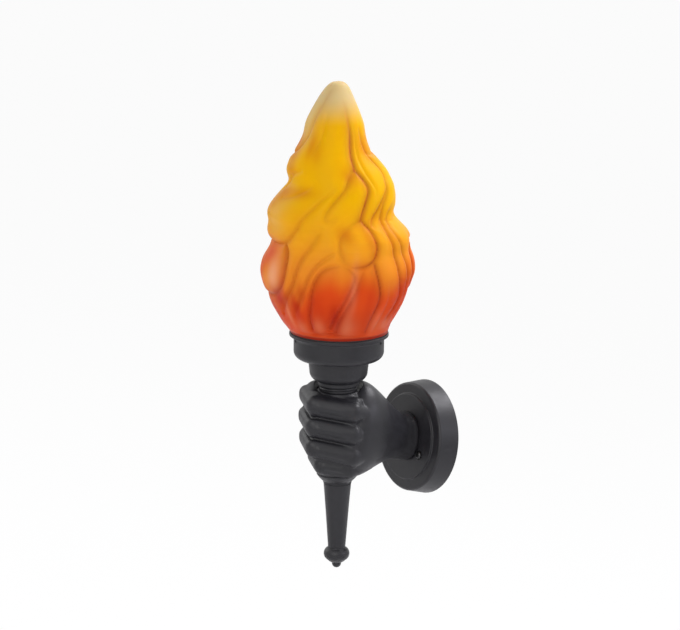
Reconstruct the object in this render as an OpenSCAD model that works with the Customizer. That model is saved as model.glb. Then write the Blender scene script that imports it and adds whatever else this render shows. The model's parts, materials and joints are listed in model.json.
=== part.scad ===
// Wall torch: a round wall plate carries a clenched hand that holds a torch with a flame glass.
// Millimetres, +Z up. The origin is the centre of the plate's back face on the wall,
// +Y points into the wall, and the torch leans away from the wall.

/* [Wall plate] */
// Radius of the plate where it meets the wall
plate_r = 59; // [54:0.5:75]
// Radius of the plate at its front edge
plate_front_r = 56; // [50:0.5:74]
// Distance from the wall to the plate's front edge
plate_depth = 22; // [18:0.5:32]
// Radius of the raised disc on the plate's front
disc_r = 44.5; // [38:0.5:48]
// Height of the raised disc above the front edge
disc_rise = 2.4; // [1:0.1:5]
// Wall thickness of the plate
plate_wall = 3; // [2:0.25:4]
// Rounding of the plate's front edge
plate_round = 3; // [1:0.25:4]

/* [Wall bracket] */
// Thickness of both bracket straps
strap_t = 2; // [1.5:0.25:3]
// Width of the strap that is fixed to the wall
wall_strap_w = 16; // [12:0.5:20]
// Length of the strap that is fixed to the wall
wall_strap_len = 88; // [84:1:98]
// Distance between the two wall slots
slot_pitch = 60; // [50:1:64]
// End-to-end length of a wall slot
slot_len = 14; // [8:0.5:16]
// Half width of a wall slot
slot_r = 2.4; // [2:0.1:3]
// Width of the strap that carries the plate
turn_strap_w = 14; // [12:0.5:18]
// Turn of the plate strap from level, about the wall's normal
turn_angle = -27.5; // [-45:0.5:-20]
// Distance between the two plate screws
screw_pitch = 59.5; // [59:0.5:64]
// Thread radius of a plate screw
screw_r = 2; // [1.5:0.25:2.5]
// Head radius of a plate screw
screw_head_r = 3.9; // [3:0.1:4]
// Depth of the recess that takes a plate screw's head
recess_depth = 1; // [0.6:0.1:1.8]
// Radius of the rivet that joins the straps
rivet_r = 2.5; // [2:0.25:4]

/* [Arm] */
// Distance from the wall to the torch's axis at the level of the plate's centre
arm_reach = 109; // [104:1:130]
// Lean of the torch away from the wall
lean = 7; // [0:0.5:10]
// Thread radius of the arm's nipple and of the torch's tube
tube_r = 5; // [4.75:0.25:6]
// Bore radius of the nipple and the tube
tube_bore = 3.6; // [3.25:0.05:4]
// Length of nipple inside the wrist
nipple_in_wrist = 20; // [12:1:30]
// Length of nipple behind the plate's front
nipple_behind = 7.5; // [6:0.5:9]
// Thickness of the nuts on the nipple and the tube
nut_t = 3.5; // [2.5:0.25:4]
// Width of the nuts across their flats
nut_flats = 14; // [13:0.5:17]
// Thickness of the washers under the nuts
washer_t = 1; // [0.8:0.1:1.5]
// Radius of the washers under the nuts
washer_r = 9.5; // [8:0.25:11]

/* [Hand] */
// Radius of the wrist where it meets the plate
wrist_r = 24; // [20:0.25:24.25]
// Half width of the hand across its back
hand_half_w = 34; // [31:0.5:37]
// Half height of the hand behind the torch
hand_half_h = 50; // [46:0.5:51]
// Radius of the first three fingers
finger_r = 11.6; // [10.8:0.2:12.4]
// Radius of the little finger
little_r = 9.4; // [8.8:0.1:10.5]
// Distance between neighbouring fingers at the front of the fist
finger_step = 22; // [20:0.25:23]
// Distance between neighbouring knuckles on the back of the hand
knuckle_step = 23.2; // [21:0.2:24.5]
// Height of the index finger's centre on the torch's axis
index_h = 39.3; // [38:0.1:42]
// Height of the index knuckle below the index finger's centre
knuckle_drop = 6.5; // [3:0.5:10]
// Distance from the torch's axis to the first joints at the front of the fist
fist_front = 29.5; // [27.5:0.5:33]
// Distance from the torch's axis to the knuckles on the back of the hand
fist_back = 26.5; // [25:0.5:30]
// Depth of the grooves between the fingers
groove = 6; // [4:0.25:7]
// Height of the flat seat that the neck rests on
fist_top = 50.5; // [48:0.25:54]
// Height of the flat seat that the handle meets
fist_foot = -36; // [-38:0.25:-32]

/* [Handle] */
// Radius of the bell under the fist at its top
bell_r = 21.2; // [18:0.2:24]
// Height of the bell
bell_h = 10.2; // [8:0.2:16]
// Radius of the thin collar under the bell
collar_r = 14.6; // [14.2:0.1:17]
// Height of the collar under the bell
collar_h = 1.6; // [1.2:0.1:4]
// Radius of the handle at its top
handle_top_r = 14.1; // [12:0.1:14.2]
// Radius of the handle at its foot
handle_foot_r = 8.9; // [7.5:0.1:9.6]
// Length of the handle below the bell
handle_len = 69; // [50:1:100]
// Radius of the round bead on the finial, at the centre of its section
bead_r = 6.6; // [6.3:0.1:9]
// How far the bead stands out from the centre of its section
bead_section = 6.6; // [5.5:0.1:8]
// Height of the bead
bead_height = 14; // [12:0.5:18]
// Height of the finial's bowl below the bead
bowl_h = 3; // [2:0.2:8]
// Radius of the ball at the finial's tip
tip_r = 4.7; // [3.5:0.1:6]

/* [Neck and cup] */
// Height of the neck between the fist and the cup
neck_h = 10.2; // [8:0.2:16]
// Radius of the neck's upper flange
neck_r = 21; // [18:0.2:24]
// Radius of the neck's groove
neck_groove_r = 18; // [14:0.2:19]
// Radius of the neck's lower flange
neck_foot_r = 19.2; // [17:0.2:22]
// Height of the lower cup
cup_h = 22.7; // [18:0.2:30]
// Radius of the lower cup at its rim
cup_r = 30.8; // [26:0.2:35]
// Rounding of the lower cup's foot
cup_round = 9.5; // [4:0.25:10]
// Wall thickness of the cup and the gallery
spun_wall = 1.5; // [1:0.1:2.5]

/* [Gallery] */
// Outer radius of the gallery
gallery_r = 45.5; // [44:0.25:47]
// Height of the gallery
gallery_h = 27.2; // [26:0.2:34]
// Rounding of the gallery's foot
gallery_round = 8; // [3:0.25:9]
// Radius of the gallery's lip
lip_r = 50; // [49:0.25:53]
// Thickness of the gallery's lip
lip_t = 3.4; // [2.6:0.1:4.5]
// Radius of a gallery screw
grub_r = 1.5; // [1.25:0.05:1.75]
// Distance of the gallery screws below the lip
grub_drop = 4; // [3.8:0.1:6]
// Angle from the direction of the front screw pair's middle to each screw of the pair
grub_spread = 69.5; // [55:0.5:80]
// Direction of the front screw pair's middle, from straight out toward the hand's back
grub_middle = 54.3; // [0:0.1:90]
// Gap between a screw's tip and the glass neck
grub_gap = 0.3; // [0.3:0.05:0.6]
// Thickness of the gasket under the glass
gasket_t = 0.9; // [0.8:0.1:1.6]

/* [Lampholder] */
// Outer radius of the lampholder's body
holder_r = 19.5; // [18:0.25:22]
// Height of the lampholder's cap
holder_cap_h = 16; // [13:0.5:20]
// Height of the lampholder's body above its cap
holder_body_h = 32; // [28:0.5:40]
// Radius inside the lampholder's threaded shell
shell_bore = 13.3; // [13.2:0.05:13.5]
// Wall of the lampholder's threaded shell
shell_wall = 0.6; // [0.4:0.1:0.9]
// Depth of the lampholder's threaded shell
shell_h = 24; // [20:0.5:26]

/* [Flame glass] */
// Height of the flame above its seat
flame_h = 250.9; // [200:1:280]
// Radius of the flame at its belly
flame_r = 75.5; // [68:0.5:85]
// Radius of the glass neck inside the gallery
fitter_r = 40; // [39:0.25:40.5]
// Depth of the glass neck below the seat
fitter_depth = 18.3; // [14:0.5:20]
// Radius of the flat seat under the flame
seat_r = 49.2; // [46.5:0.1:49.4]
// Wall thickness of the glass
glass_wall = 3; // [2.5:0.25:4]
// Depth of the valleys between the tongues of flame
ripple = 4; // [2:0.25:6]
// Distance over which a valley rises to full height
ripple_width = 11; // [8:0.5:14]
// Sideways sway of the flame
sway = 1; // [0:0.05:1.2]

/* [Wiring] */
// Radius of an insulated lead
lead_r = 0.9; // [0.8:0.05:1.1]
// Distance of each lead from the middle of the tube
lead_offset = 1.15; // [1.1:0.05:1.3]
// Length of the terminal block
block_len = 16; // [14:0.5:18]
// Width of the terminal block
block_w = 17; // [16:0.5:20]
// Height of the terminal block
block_h = 8; // [7:0.25:9]

/* [Hidden] */
$fn = 96;
eps = 0.01;
fit_gap = 0.15;
black = [0.13, 0.13, 0.135];
steel = [0.72, 0.73, 0.74];
brass = [0.78, 0.62, 0.30];

// Distances from the wall
plate_face = plate_depth + disc_rise;
plate_inner = plate_face - plate_wall;
// Heights along the torch's axis
cup_foot = fist_top + neck_h;
gallery_foot = cup_foot + cup_h;
lip_top = gallery_foot + gallery_h;
seat_h = lip_top + gasket_t + fit_gap * 2;
grub_h = lip_top - lip_t - grub_drop;
floor_top = gallery_foot + spun_wall + 0.5;
tube_nut_h = floor_top + washer_t;
cap_h0 = tube_nut_h + nut_t + 0.5;
body_h0 = cap_h0 + holder_cap_h;
body_h1 = body_h0 + holder_body_h;
contact_h = body_h1 - shell_h - 4;
bell_foot = fist_foot - bell_h;
handle_foot = bell_foot - handle_len;
bead_h = handle_foot - bead_height / 2;
bowl_foot = bead_h - bead_height / 2 - bowl_h;
tube_top = cap_h0 + 5;
tube_foot = handle_foot - 9.5;
gallery_in = gallery_r - spun_wall;

// Points of an arc about [cx, cy], from angle a0 to a1
function arc(cx, cy, r, a0, a1, n = 8) =
    [for (i = [0:n]) let (a = a0 + (a1 - a0) * i / n) [cx + r * cos(a), cy + r * sin(a)]];

// Puts what follows on the leaning torch axis
module on_torch() {
    translate([0, -arm_reach, 0]) rotate([lean, 0, 0]) children();
}

// Puts what follows on the wall's normal, growing away from the wall
module on_wall() {
    rotate([90, 0, 0]) children();
}

// Places two copies at the plate screws
module at_plate_screws() {
    for (s = [-1, 1]) rotate([0, 0, turn_angle]) translate([s * screw_pitch / 2, 0, 0]) children();
}

// ---- Wall plate: a turned shell, open at the back, with a raised disc on its front
module wall_plate() {
    side_in = plate_wall;
    color(black) on_wall() difference() {
        rotate_extrude() polygon(concat(
            [[plate_r - side_in, 0], [plate_r - 0.6, 0], [plate_r, 0.6]],
            [[plate_front_r + 0.25, plate_depth - plate_round]],
            arc(plate_front_r - plate_round + 0.25, plate_depth - plate_round, plate_round, 8, 90),
            arc(disc_r + 1.4, plate_depth + 1.4, 1.4, 270, 180, 5),
            arc(disc_r - 1.0, plate_face - 1.0, 1.0, 0, 90, 5),
            [[tube_r + fit_gap, plate_face], [tube_r + fit_gap, plate_inner]],
            [[disc_r - plate_wall, plate_inner], [disc_r, plate_depth - plate_wall]],
            arc(plate_front_r - side_in - 1.5, plate_depth - plate_wall - 1.5, 1.5, 90, 8, 4)));
        at_plate_screws() {
            translate([0, 0, plate_face - recess_depth])
                cylinder(r = screw_head_r + 0.7, h = recess_depth + 1);
            translate([0, 0, plate_inner - 1]) cylinder(r = screw_r + 0.3, h = plate_wall + 2);
        }
    }
}

// ---- Strap fixed to the wall through two slots
module wall_strap() {
    color(steel) on_wall() difference() {
        linear_extrude(height = strap_t) difference() {
            strap_outline(wall_strap_len, wall_strap_w);
            for (s = [-1, 1]) translate([s * slot_pitch / 2, 0]) {
                square([slot_len - 2 * slot_r, 2 * slot_r], center = true);
                for (t = [-1, 1]) translate([t * (slot_len / 2 - slot_r), 0])
                    circle(r = slot_r, $fn = 48);
            }
        }
        translate([0, 0, -1]) cylinder(r = rivet_r + 0.05, h = strap_t + 2, $fn = 48);
    }
}

// Flat strap with round ends
module strap_outline(len, w) {
    square([len - w, w], center = true);
    for (s = [-1, 1]) translate([s * (len - w) / 2, 0]) circle(r = w / 2);
}

// ---- Strap that can be turned level and takes the plate's screws
module turn_strap() {
    color(steel) on_wall() rotate([0, 0, turn_angle]) translate([0, 0, strap_t]) difference() {
        linear_extrude(height = strap_t) strap_outline(screw_pitch + turn_strap_w, turn_strap_w);
        translate([0, 0, -1]) cylinder(r = rivet_r + 0.05, h = strap_t + 2, $fn = 48);
        for (s = [-1, 1]) translate([s * screw_pitch / 2, 0, -1])
            cylinder(r = screw_r + 0.05, h = strap_t + 2, $fn = 48);
        translate([earth_x, 0, -1]) cylinder(r = screw_r + 0.05, h = strap_t + 2, $fn = 48);
    }
}
earth_x = 14;

// ---- Rivet that holds the two straps together, flush with the wall
module strap_rivet() {
    color(steel) on_wall() {
        cylinder(r = rivet_r, h = 2 * strap_t);
        translate([0, 0, 2 * strap_t]) cylinder(r1 = rivet_r * 1.7, r2 = rivet_r * 1.2, h = 1);
    }
}

// ---- Two pan head screws that hold the plate on its strap
module plate_screws() {
    color(steel) on_wall() at_plate_screws() difference() {
        union() {
            translate([0, 0, strap_t]) cylinder(r = screw_r, h = plate_face - recess_depth - strap_t);
            translate([0, 0, plate_face - recess_depth]) rotate_extrude() polygon(concat(
                [[0, 0], [screw_head_r, 0], [screw_head_r, 1.4]],
                arc(screw_head_r - 2, 1.4, 2, 10, 90, 6), [[0, 3.4]]));
        }
        for (a = [0, 90]) rotate([0, 0, a + 20]) translate([0, 0, plate_face - recess_depth + 3.4])
            cube([screw_head_r * 1.1, 0.9, 2.6], center = true);
    }
}

// ---- Threaded tube through the plate into the wrist
module arm_nipple() {
    color(brass) on_wall() translate([0, 0, plate_inner - nipple_behind]) difference() {
        cylinder(r = tube_r, h = nipple_behind + plate_wall + nipple_in_wrist);
        translate([0, 0, -1])
            cylinder(r = tube_bore, h = nipple_behind + plate_wall + nipple_in_wrist + 2);
    }
}

module washer_ring() {
    difference() {
        cylinder(r = washer_r, h = washer_t);
        translate([0, 0, -1]) cylinder(r = tube_r + 0.2, h = washer_t + 2);
    }
}

module hex_nut() {
    difference() {
        intersection() {
            cylinder(r = nut_flats / sqrt(3), h = nut_t, $fn = 6);
            rotate_extrude() polygon([[0, 0], [nut_flats / 2 + 0.2, 0],
                [nut_flats / sqrt(3), 0.6], [nut_flats / sqrt(3), nut_t - 0.6],
                [nut_flats / 2 + 0.2, nut_t], [0, nut_t]]);
        }
        translate([0, 0, -1]) cylinder(r = tube_r + 0.05, h = nut_t + 2);
    }
}

module arm_washer() {
    color(steel) on_wall() translate([0, 0, plate_inner - washer_t]) washer_ring();
}

module arm_nut() {
    color(brass) on_wall() translate([0, 0, plate_inner - washer_t - nut_t]) hex_nut();
}

// ---- Hand: a left fist, thumb up, the back of the hand toward +X
// The joints of a finger seen along the torch's axis: knuckle, first, second and tip
function joints(front, short = 0) = [[fist_back - short, 0], [fist_back * 0.22, -front],
    [short - fist_back * 0.94, -front * 0.64], [short - fist_back, front * 0.14]];
joint_rise = 2.5;

// One finger from the knuckle round the front of the torch to the palm
module finger(h, r, drop, front, short = 0) {
    j = joints(front, short);
    k = [j[0].x, j[0].y, h - drop];
    hull() { ball(k, r * 0.97); ball([j[1].x, j[1].y, h], r); }
    second = [j[2].x, j[2].y, h + joint_rise];
    hull() { ball([j[1].x, j[1].y, h], r); ball(second, r * 0.92); }
    hull() { ball(second, r * 0.92); ball([j[3].x, j[3].y, h + joint_rise], r * 0.86); }
}

module ball(at, r) {
    translate(at) sphere(r = r, $fn = 18);
}

// Ring of a rounded section of the hand, parallel to the wall
function hand_ring(s, n) = [for (i = [0:n - 1]) let (a = 360 * i / n, c = cos(a), d = sin(a))
    [s[1] + s[3] * sign(c) * pow(abs(c), 0.86), -s[0], s[2] + s[4] * sign(d) * pow(abs(d), 0.86)]];

// Back of the hand: rounded sections lofted from the wrist to the knuckles
module hand_back() {
    n = 28;
    w = hand_half_w;
    h = hand_half_h;
    // Share of the way from the plate to the torch's axis, middle x and z as shares of the half
    // width and half height, then half width and half height
    ring = [for (s = [[0, 0, 0.02, wrist_r, wrist_r + 1], [0.07, 0, 0.02, wrist_r - 0.5, wrist_r + 0.5],
        [0.15, 0, 0.03, wrist_r - 0.9, wrist_r + 0.4], [0.24, 0.015, 0.075, w * 0.69, h * 0.53],
        [0.33, 0.03, 0.13, w * 0.74, h * 0.585], [0.43, 0.045, 0.165, w * 0.81, h * 0.675],
        [0.52, 0.06, 0.2, w * 0.88, h * 0.77], [0.62, 0.075, 0.22, w * 0.94, h * 0.87],
        [0.71, 0.09, 0.23, w * 0.98, h * 0.96], [0.81, 0.1, 0.215, w, h],
        [0.91, 0.1, 0.18, w * 0.99, h * 0.97], [0.99, 0.09, 0.12, w * 0.9, h * 0.88],
        [1.05, 0.06, 0.09, w * 0.7, h * 0.72]])
        [plate_face + s[0] * (arm_reach - plate_face), s[1] * w, s[2] * h, s[3], s[4]]];
    last = len(ring) - 1;
    polyhedron(points = [for (s = ring) each hand_ring(s, n)], faces = concat(
        [[for (i = [0:n - 1]) i]],
        [for (j = [0:last - 1]) each [for (i = [0:n - 1]) each
            let (a = j * n + i, b = j * n + (i + 1) % n) [[a, b + n, b], [a, a + n, b + n]]]],
        [[for (i = [0:n - 1]) last * n + n - 1 - i]]));
}

module hand() {
    color(black) difference() {
        union() {
            hand_back();
            on_torch() {
                for (i = [0:2])
                    finger(index_h - i * finger_step, finger_r,
                        knuckle_drop + i * (knuckle_step - finger_step),
                        fist_front + [0, 1, 0.5][i], [0, 0, 1][i]);
                finger(index_h - 2 * finger_step - (finger_r + little_r) * 0.91, little_r,
                    knuckle_drop - 1.5, fist_front * 0.76, 6);
                // Body of the fist, which sets the depth of the grooves
                core_h = index_h - knuckle_drop - fist_foot - 28;
                hull() {
                    for (p = joints(fist_front)) translate([p.x, p.y, fist_foot + 28])
                        cylinder(r = finger_r - groove, h = core_h, $fn = 20);
                    translate([0, 0, fist_top - 4]) cylinder(r = neck_foot_r + 1.2, h = 4, $fn = 36);
                }
                hull() {
                    translate([0, 0, fist_foot]) cylinder(r = bell_r - 0.6, h = 1, $fn = 36);
                    for (p = joints(fist_front * 0.76, 6)) translate([p.x * 0.9, p.y, fist_foot + 12])
                        cylinder(r = little_r - groove * 0.7, h = 20, $fn = 20);
                }
                // Thumb laid round the torch on the palm side, over the index finger
                thumb = [-fist_back, fist_front * 0.1, index_h + 7];
                hull() { ball([-fist_back * 0.5, fist_front * 0.9, index_h - 10], 13); ball(thumb, 11); }
                hull() { ball(thumb, 11); ball(thumb + [4, -fist_front * 0.55, 0.5], 10); }
            }
        }
        // Seats for the neck and the bell, room for the cup, and the hole for the tube
        on_torch() {
            translate([0, 0, fist_top]) cylinder(r = neck_r + 1, h = neck_h + 1, $fn = 36);
            rotate_extrude($fn = 36) polygon(concat([[0, cup_foot - 0.6]],
                arc(cup_r - cup_round, cup_foot + cup_round, cup_round + 0.6, -90, 0, 6),
                [[cup_r + 0.6, gallery_foot], [0, gallery_foot]]));
            translate([0, 0, fist_foot - 40]) cylinder(r = bell_r + 0.8, h = 40, $fn = 36);
            translate([0, 0, fist_foot - 40])
                cylinder(r = tube_r + 0.25, h = fist_top - fist_foot + 80, $fn = 24);
        }
        // Hole for the nipple and the channel for the leads
        on_wall() translate([0, 0, plate_face - 10]) {
            cylinder(r = tube_r + 0.25, h = nipple_in_wrist + 10, $fn = 24);
            cylinder(r = tube_bore + 0.5, h = arm_reach - plate_face + 10, $fn = 24);
        }
    }
}

// ---- Torch tube, from the finial to the lampholder, with an outlet toward the wrist
module torch_tube() {
    color(brass) on_torch() difference() {
        translate([0, 0, tube_foot]) cylinder(r = tube_r, h = tube_top - tube_foot);
        translate([0, 0, tube_foot - 1]) cylinder(r = tube_bore, h = tube_top - tube_foot + 2);
        rotate([-90 - lean, 0, 0]) cylinder(r = 2.9, h = tube_r + 5, $fn = 48);
    }
}

// ---- Handle: bell, collar and a long taper
module torch_handle() {
    color(black) on_torch() rotate_extrude() polygon(concat(
        [[tube_r + fit_gap, fist_foot], [bell_r, fist_foot], [bell_r, fist_foot - 1.2]],
        [for (i = [1:6]) let (t = i / 6) [bell_r + (collar_r - bell_r) * (0.7 * t + 0.3 * t * t),
            fist_foot - 1.2 - (bell_h - 1.2 - collar_h) * t]],
        [[collar_r, bell_foot + 0.3], [collar_r - 0.3, bell_foot]],
        [[handle_top_r - 0.5, bell_foot - 0.2], [handle_top_r - 0.5, bell_foot - 0.6]],
        [[handle_top_r, bell_foot - 0.8]],
        [for (i = [1:5]) let (t = i / 5)
            [handle_top_r - (handle_top_r - handle_foot_r) * pow(t, 0.92),
             bell_foot - 0.8 - (handle_len - 0.8) * t]],
        [[tube_r + fit_gap, handle_foot]]));
}

// ---- Finial: round bead, bowl and tip ball, blind bored for the tube
module finial() {
    seat = handle_foot_r + 0.2;
    bowl_r = bead_r + bead_section * 0.45;
    color(black) on_torch() difference() {
        union() {
            rotate_extrude() polygon(concat(
                [[0, handle_foot], [seat, handle_foot]],
                [for (a = [64:-8:-56]) [bead_r + bead_section * cos(a), bead_h + bead_height / 2 * sin(a)]],
                [[bowl_r, bead_h - bead_height * 0.45]],
                [for (i = [1:6]) let (t = i / 6)
                    [bowl_r + (tip_r * 0.85 - bowl_r) * (0.5 * t + 0.5 * t * t),
                     bead_h - bead_height * 0.45 - (bowl_h + bead_height * 0.05) * t]],
                [[0, bowl_foot]]));
            translate([0, 0, bowl_foot - 0.6]) sphere(r = tip_r, $fn = 48);
        }
        translate([0, 0, tube_foot - 0.5]) cylinder(r = tube_r + 0.1, h = 40);
    }
}

// ---- Neck: a turned spool between the fist and the cup
module neck_spool() {
    color(black) on_torch() rotate_extrude() polygon(concat(
        [[tube_r + fit_gap, fist_top], [neck_foot_r - 0.6, fist_top], [neck_foot_r, fist_top + 0.6]],
        [[neck_foot_r, fist_top + 2.2]],
        arc(neck_foot_r + 0.3, fist_top + 3.9, neck_foot_r + 0.3 - neck_groove_r, 260, 100, 8),
        [[neck_r - 0.8, cup_foot - 4.4]],
        arc(neck_r - 0.8, cup_foot - 3.6, 0.8, -90, 0, 4),
        [[neck_r, cup_foot - 0.6], [neck_r - 0.6, cup_foot], [tube_r + fit_gap, cup_foot]]));
}

// ---- Lower cup: a spun shell under the gallery
module lower_cup() {
    in_round = cup_round - spun_wall;
    foot = cup_r - 1.4;
    color(black) on_torch() rotate_extrude() polygon(concat(
        [[tube_r + fit_gap, cup_foot]],
        arc(foot - cup_round, cup_foot + cup_round, cup_round, -90, 0, 10),
        [[cup_r, gallery_foot - 0.6], [cup_r - 0.6, gallery_foot], [cup_r - spun_wall, gallery_foot]],
        arc(foot - cup_round, cup_foot + cup_round, in_round, 0, -90, 10),
        [[tube_r + fit_gap, cup_foot + spun_wall]]));
}

// ---- Gallery: the round cup that holds the glass
module gallery() {
    floor_h = floor_top;
    in_r = gallery_round - spun_wall;
    color(black) on_torch() difference() {
        rotate_extrude() polygon(concat(
            [[tube_r + fit_gap, gallery_foot]],
            arc(gallery_r - gallery_round, gallery_foot + gallery_round, gallery_round, -90, 0, 10),
            [[gallery_r, lip_top - lip_t - 3.7]],
            arc(gallery_r + 3.7, lip_top - lip_t - 3.7, 3.7, 180, 90, 6),
            arc(lip_r - 1, lip_top - lip_t + 1, 1, -90, 0, 4),
            arc(lip_r - 0.9, lip_top - 0.9, 0.9, 0, 90, 4),
            [[gallery_in, lip_top]],
            arc(gallery_in - in_r, floor_h + in_r, in_r, 0, -90, 8),
            [[tube_r + fit_gap, floor_h]]));
        for (n = [0:2]) at_grub(n) translate([gallery_in - 3, 0, 0]) rotate([0, 90, 0])
            cylinder(r = grub_r + 0.1, h = 8, $fn = 48);
    }
}

// Places what follows at gallery screw n, with +X pointing out of the gallery
function grub_dir(n) = grub_middle - 90 + [grub_spread, -grub_spread, 180][n];
module at_grub(n) {
    rotate([0, 0, grub_dir(n)]) translate([0, 0, grub_h]) children();
}

// ---- Grub screw with a hexagon socket
module gallery_screw(n) {
    tip = fitter_r + grub_gap;
    color(steel * 0.5) on_torch() at_grub(n) difference() {
        translate([tip, 0, 0]) rotate([0, 90, 0]) rotate_extrude($fn = 48) polygon([[0, 0],
            [grub_r - 0.4, 0], [grub_r, 0.4], [grub_r, gallery_r + 0.5 - tip],
            [grub_r - 0.2, gallery_r + 0.7 - tip], [0, gallery_r + 0.7 - tip]]);
        translate([gallery_r - 1, 0, 0]) rotate([0, 90, 0]) cylinder(r = grub_r * 0.55, h = 4, $fn = 6);
    }
}

// ---- Soft ring between the lip and the glass
module gasket_ring() {
    color([0.08, 0.08, 0.08]) on_torch() translate([0, 0, lip_top]) difference() {
        cylinder(r = seat_r - 0.8, h = gasket_t);
        translate([0, 0, -1]) cylinder(r = gallery_in - 0.1, h = gasket_t + 2);
    }
}

module tube_washer() {
    color(steel) on_torch() translate([0, 0, floor_top]) washer_ring();
}

module tube_nut() {
    color(brass) on_torch() translate([0, 0, tube_nut_h]) hex_nut();
}

// ---- Lampholder: cap, body, threaded shell and centre contact
module holder_cap() {
    color([0.16, 0.16, 0.17]) on_torch() rotate_extrude() polygon(concat(
        [[tube_r + 0.1, cap_h0], [holder_r * 0.55, cap_h0]],
        [[holder_r * 0.55, cap_h0 + 2]],
        arc(holder_r - 6, cap_h0 + 10, 6, -60, 0, 6),
        [[holder_r, body_h0], [holder_r - 2, body_h0], [holder_r - 2, cap_h0 + 10]],
        [[holder_r * 0.55 - 1, cap_h0 + 5], [tube_r + 0.1, cap_h0 + 5]]));
}

module holder_body() {
    // The floor carries the contact, and two blind holes take the leads
    color([0.93, 0.92, 0.88]) on_torch() difference() {
        rotate_extrude() polygon(concat(
            [[0, body_h0], [holder_r, body_h0], [holder_r, body_h0 + 4]],
            [[holder_r - 1, body_h0 + 5], [holder_r - 1, body_h1 - 6]],
            [[holder_r, body_h1 - 5], [holder_r, body_h1 - 1], [holder_r - 1, body_h1]],
            [[shell_bore + shell_wall + 0.1, body_h1]],
            [[shell_bore + shell_wall + 0.1, contact_h], [0, contact_h]]));
        for (s = [-1, 1]) translate([s * lead_spread, 0, body_h0 - 1])
            cylinder(r = lead_r + 0.25, h = 4, $fn = 36);
    }
}
lead_spread = 6;

module holder_shell() {
    color(brass) on_torch() translate([0, 0, body_h1 - 1 - shell_h]) difference() {
        cylinder(r = shell_bore + shell_wall, h = shell_h);
        translate([0, 0, -1]) cylinder(r = shell_bore, h = shell_h + 2);
    }
}

module holder_contact() {
    color(brass) on_torch() translate([0, 0, contact_h]) {
        cylinder(r = 4.5, h = 0.8);
        translate([0, 0, 0.8]) cylinder(r1 = 3.4, r2 = 2.2, h = 1.7);
    }
}

// ---- Terminals behind the plate
block_x = -9;
module terminal_block() {
    pole = block_w / 3;
    color([0.9, 0.9, 0.88]) on_wall() rotate([0, 0, turn_angle]) translate([block_x, 0, 2 * strap_t])
    difference() {
        translate([-block_len, -block_w / 2, 0]) cube([block_len, block_w, block_h]);
        for (i = [-1:1]) {
            translate([-block_len - 1, i * pole, block_h / 2]) rotate([0, 90, 0])
                cylinder(r = lead_r + 0.35, h = block_len + 2, $fn = 36);
            translate([-block_len * 0.5, i * pole, block_h / 2]) cylinder(r = 1.8, h = block_h, $fn = 36);
        }
    }
}

module terminal_screws() {
    pole = block_w / 3;
    color(brass) on_wall() rotate([0, 0, turn_angle])
    translate([block_x - block_len * 0.5, 0, 2 * strap_t + block_h / 2 + lead_r])
    for (i = [-1:1]) translate([0, i * pole, 0]) difference() {
        cylinder(r = 1.75, h = block_h / 2 - lead_r - 0.3, $fn = 48);
        translate([0, 0, block_h / 2 - lead_r - 0.3]) cube([4, 0.6, 1.2], center = true);
    }
}

module earth_screw() {
    color(brass) on_wall() rotate([0, 0, turn_angle]) translate([earth_x, 0, strap_t]) {
        cylinder(r = screw_r, h = strap_t);
        translate([0, 0, strap_t]) cylinder(r = 4, h = 2.2);
    }
}

// ---- Leads: tubes swept along smoothed routes
function cut_corners(p, n) = n == 0 ? p : cut_corners(concat([p[0]],
    [for (i = [0:len(p) - 2]) each [p[i] * 0.75 + p[i + 1] * 0.25, p[i] * 0.25 + p[i + 1] * 0.75]],
    [p[len(p) - 1]]), n - 1);
function unit(v) = v / norm(v);
function along(p, i) = unit(p[min(i + 1, len(p) - 1)] - p[max(i - 1, 0)]);
function turned(n, t) = unit(n - (n * t) * t);

module lead(route, first) {
    p = cut_corners(route, 2);
    m = 6;
    side = [for (i = 0, n = turned(first, along(p, 0)); i < len(p);
        i = i + 1, n = i < len(p) ? turned(n, along(p, i)) : n) n];
    ring = [for (i = [0:len(p) - 1]) let (u = side[i], v = cross(along(p, i), u))
        each [for (k = [0:m - 1]) p[i] + lead_r * (cos(360 * k / m) * u + sin(360 * k / m) * v)]];
    last = len(p) - 1;
    faces = concat(
        [[for (k = [0:m - 1]) k]],
        [for (i = [0:last - 1]) each [for (k = [0:m - 1]) each let (k2 = (k + 1) % m)
            [[i * m + k, (i + 1) * m + k, (i + 1) * m + k2], [i * m + k, (i + 1) * m + k2, i * m + k2]]]],
        [[for (k = [0:m - 1]) last * m + m - 1 - k]]);
    polyhedron(points = ring, faces = faces);
}

// A point on the torch's axis frame, in the part's frame
function torch_point(x, y, h) = [x, -arm_reach + y * cos(lean) - h * sin(lean),
    y * sin(lean) + h * cos(lean)];
// A point on the turned strap: u along the strap, v across it, d from the wall
function strap_point(u, v, d) = [u * cos(turn_angle) - v * sin(turn_angle), -d,
    u * sin(turn_angle) + v * cos(turn_angle)];

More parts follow.
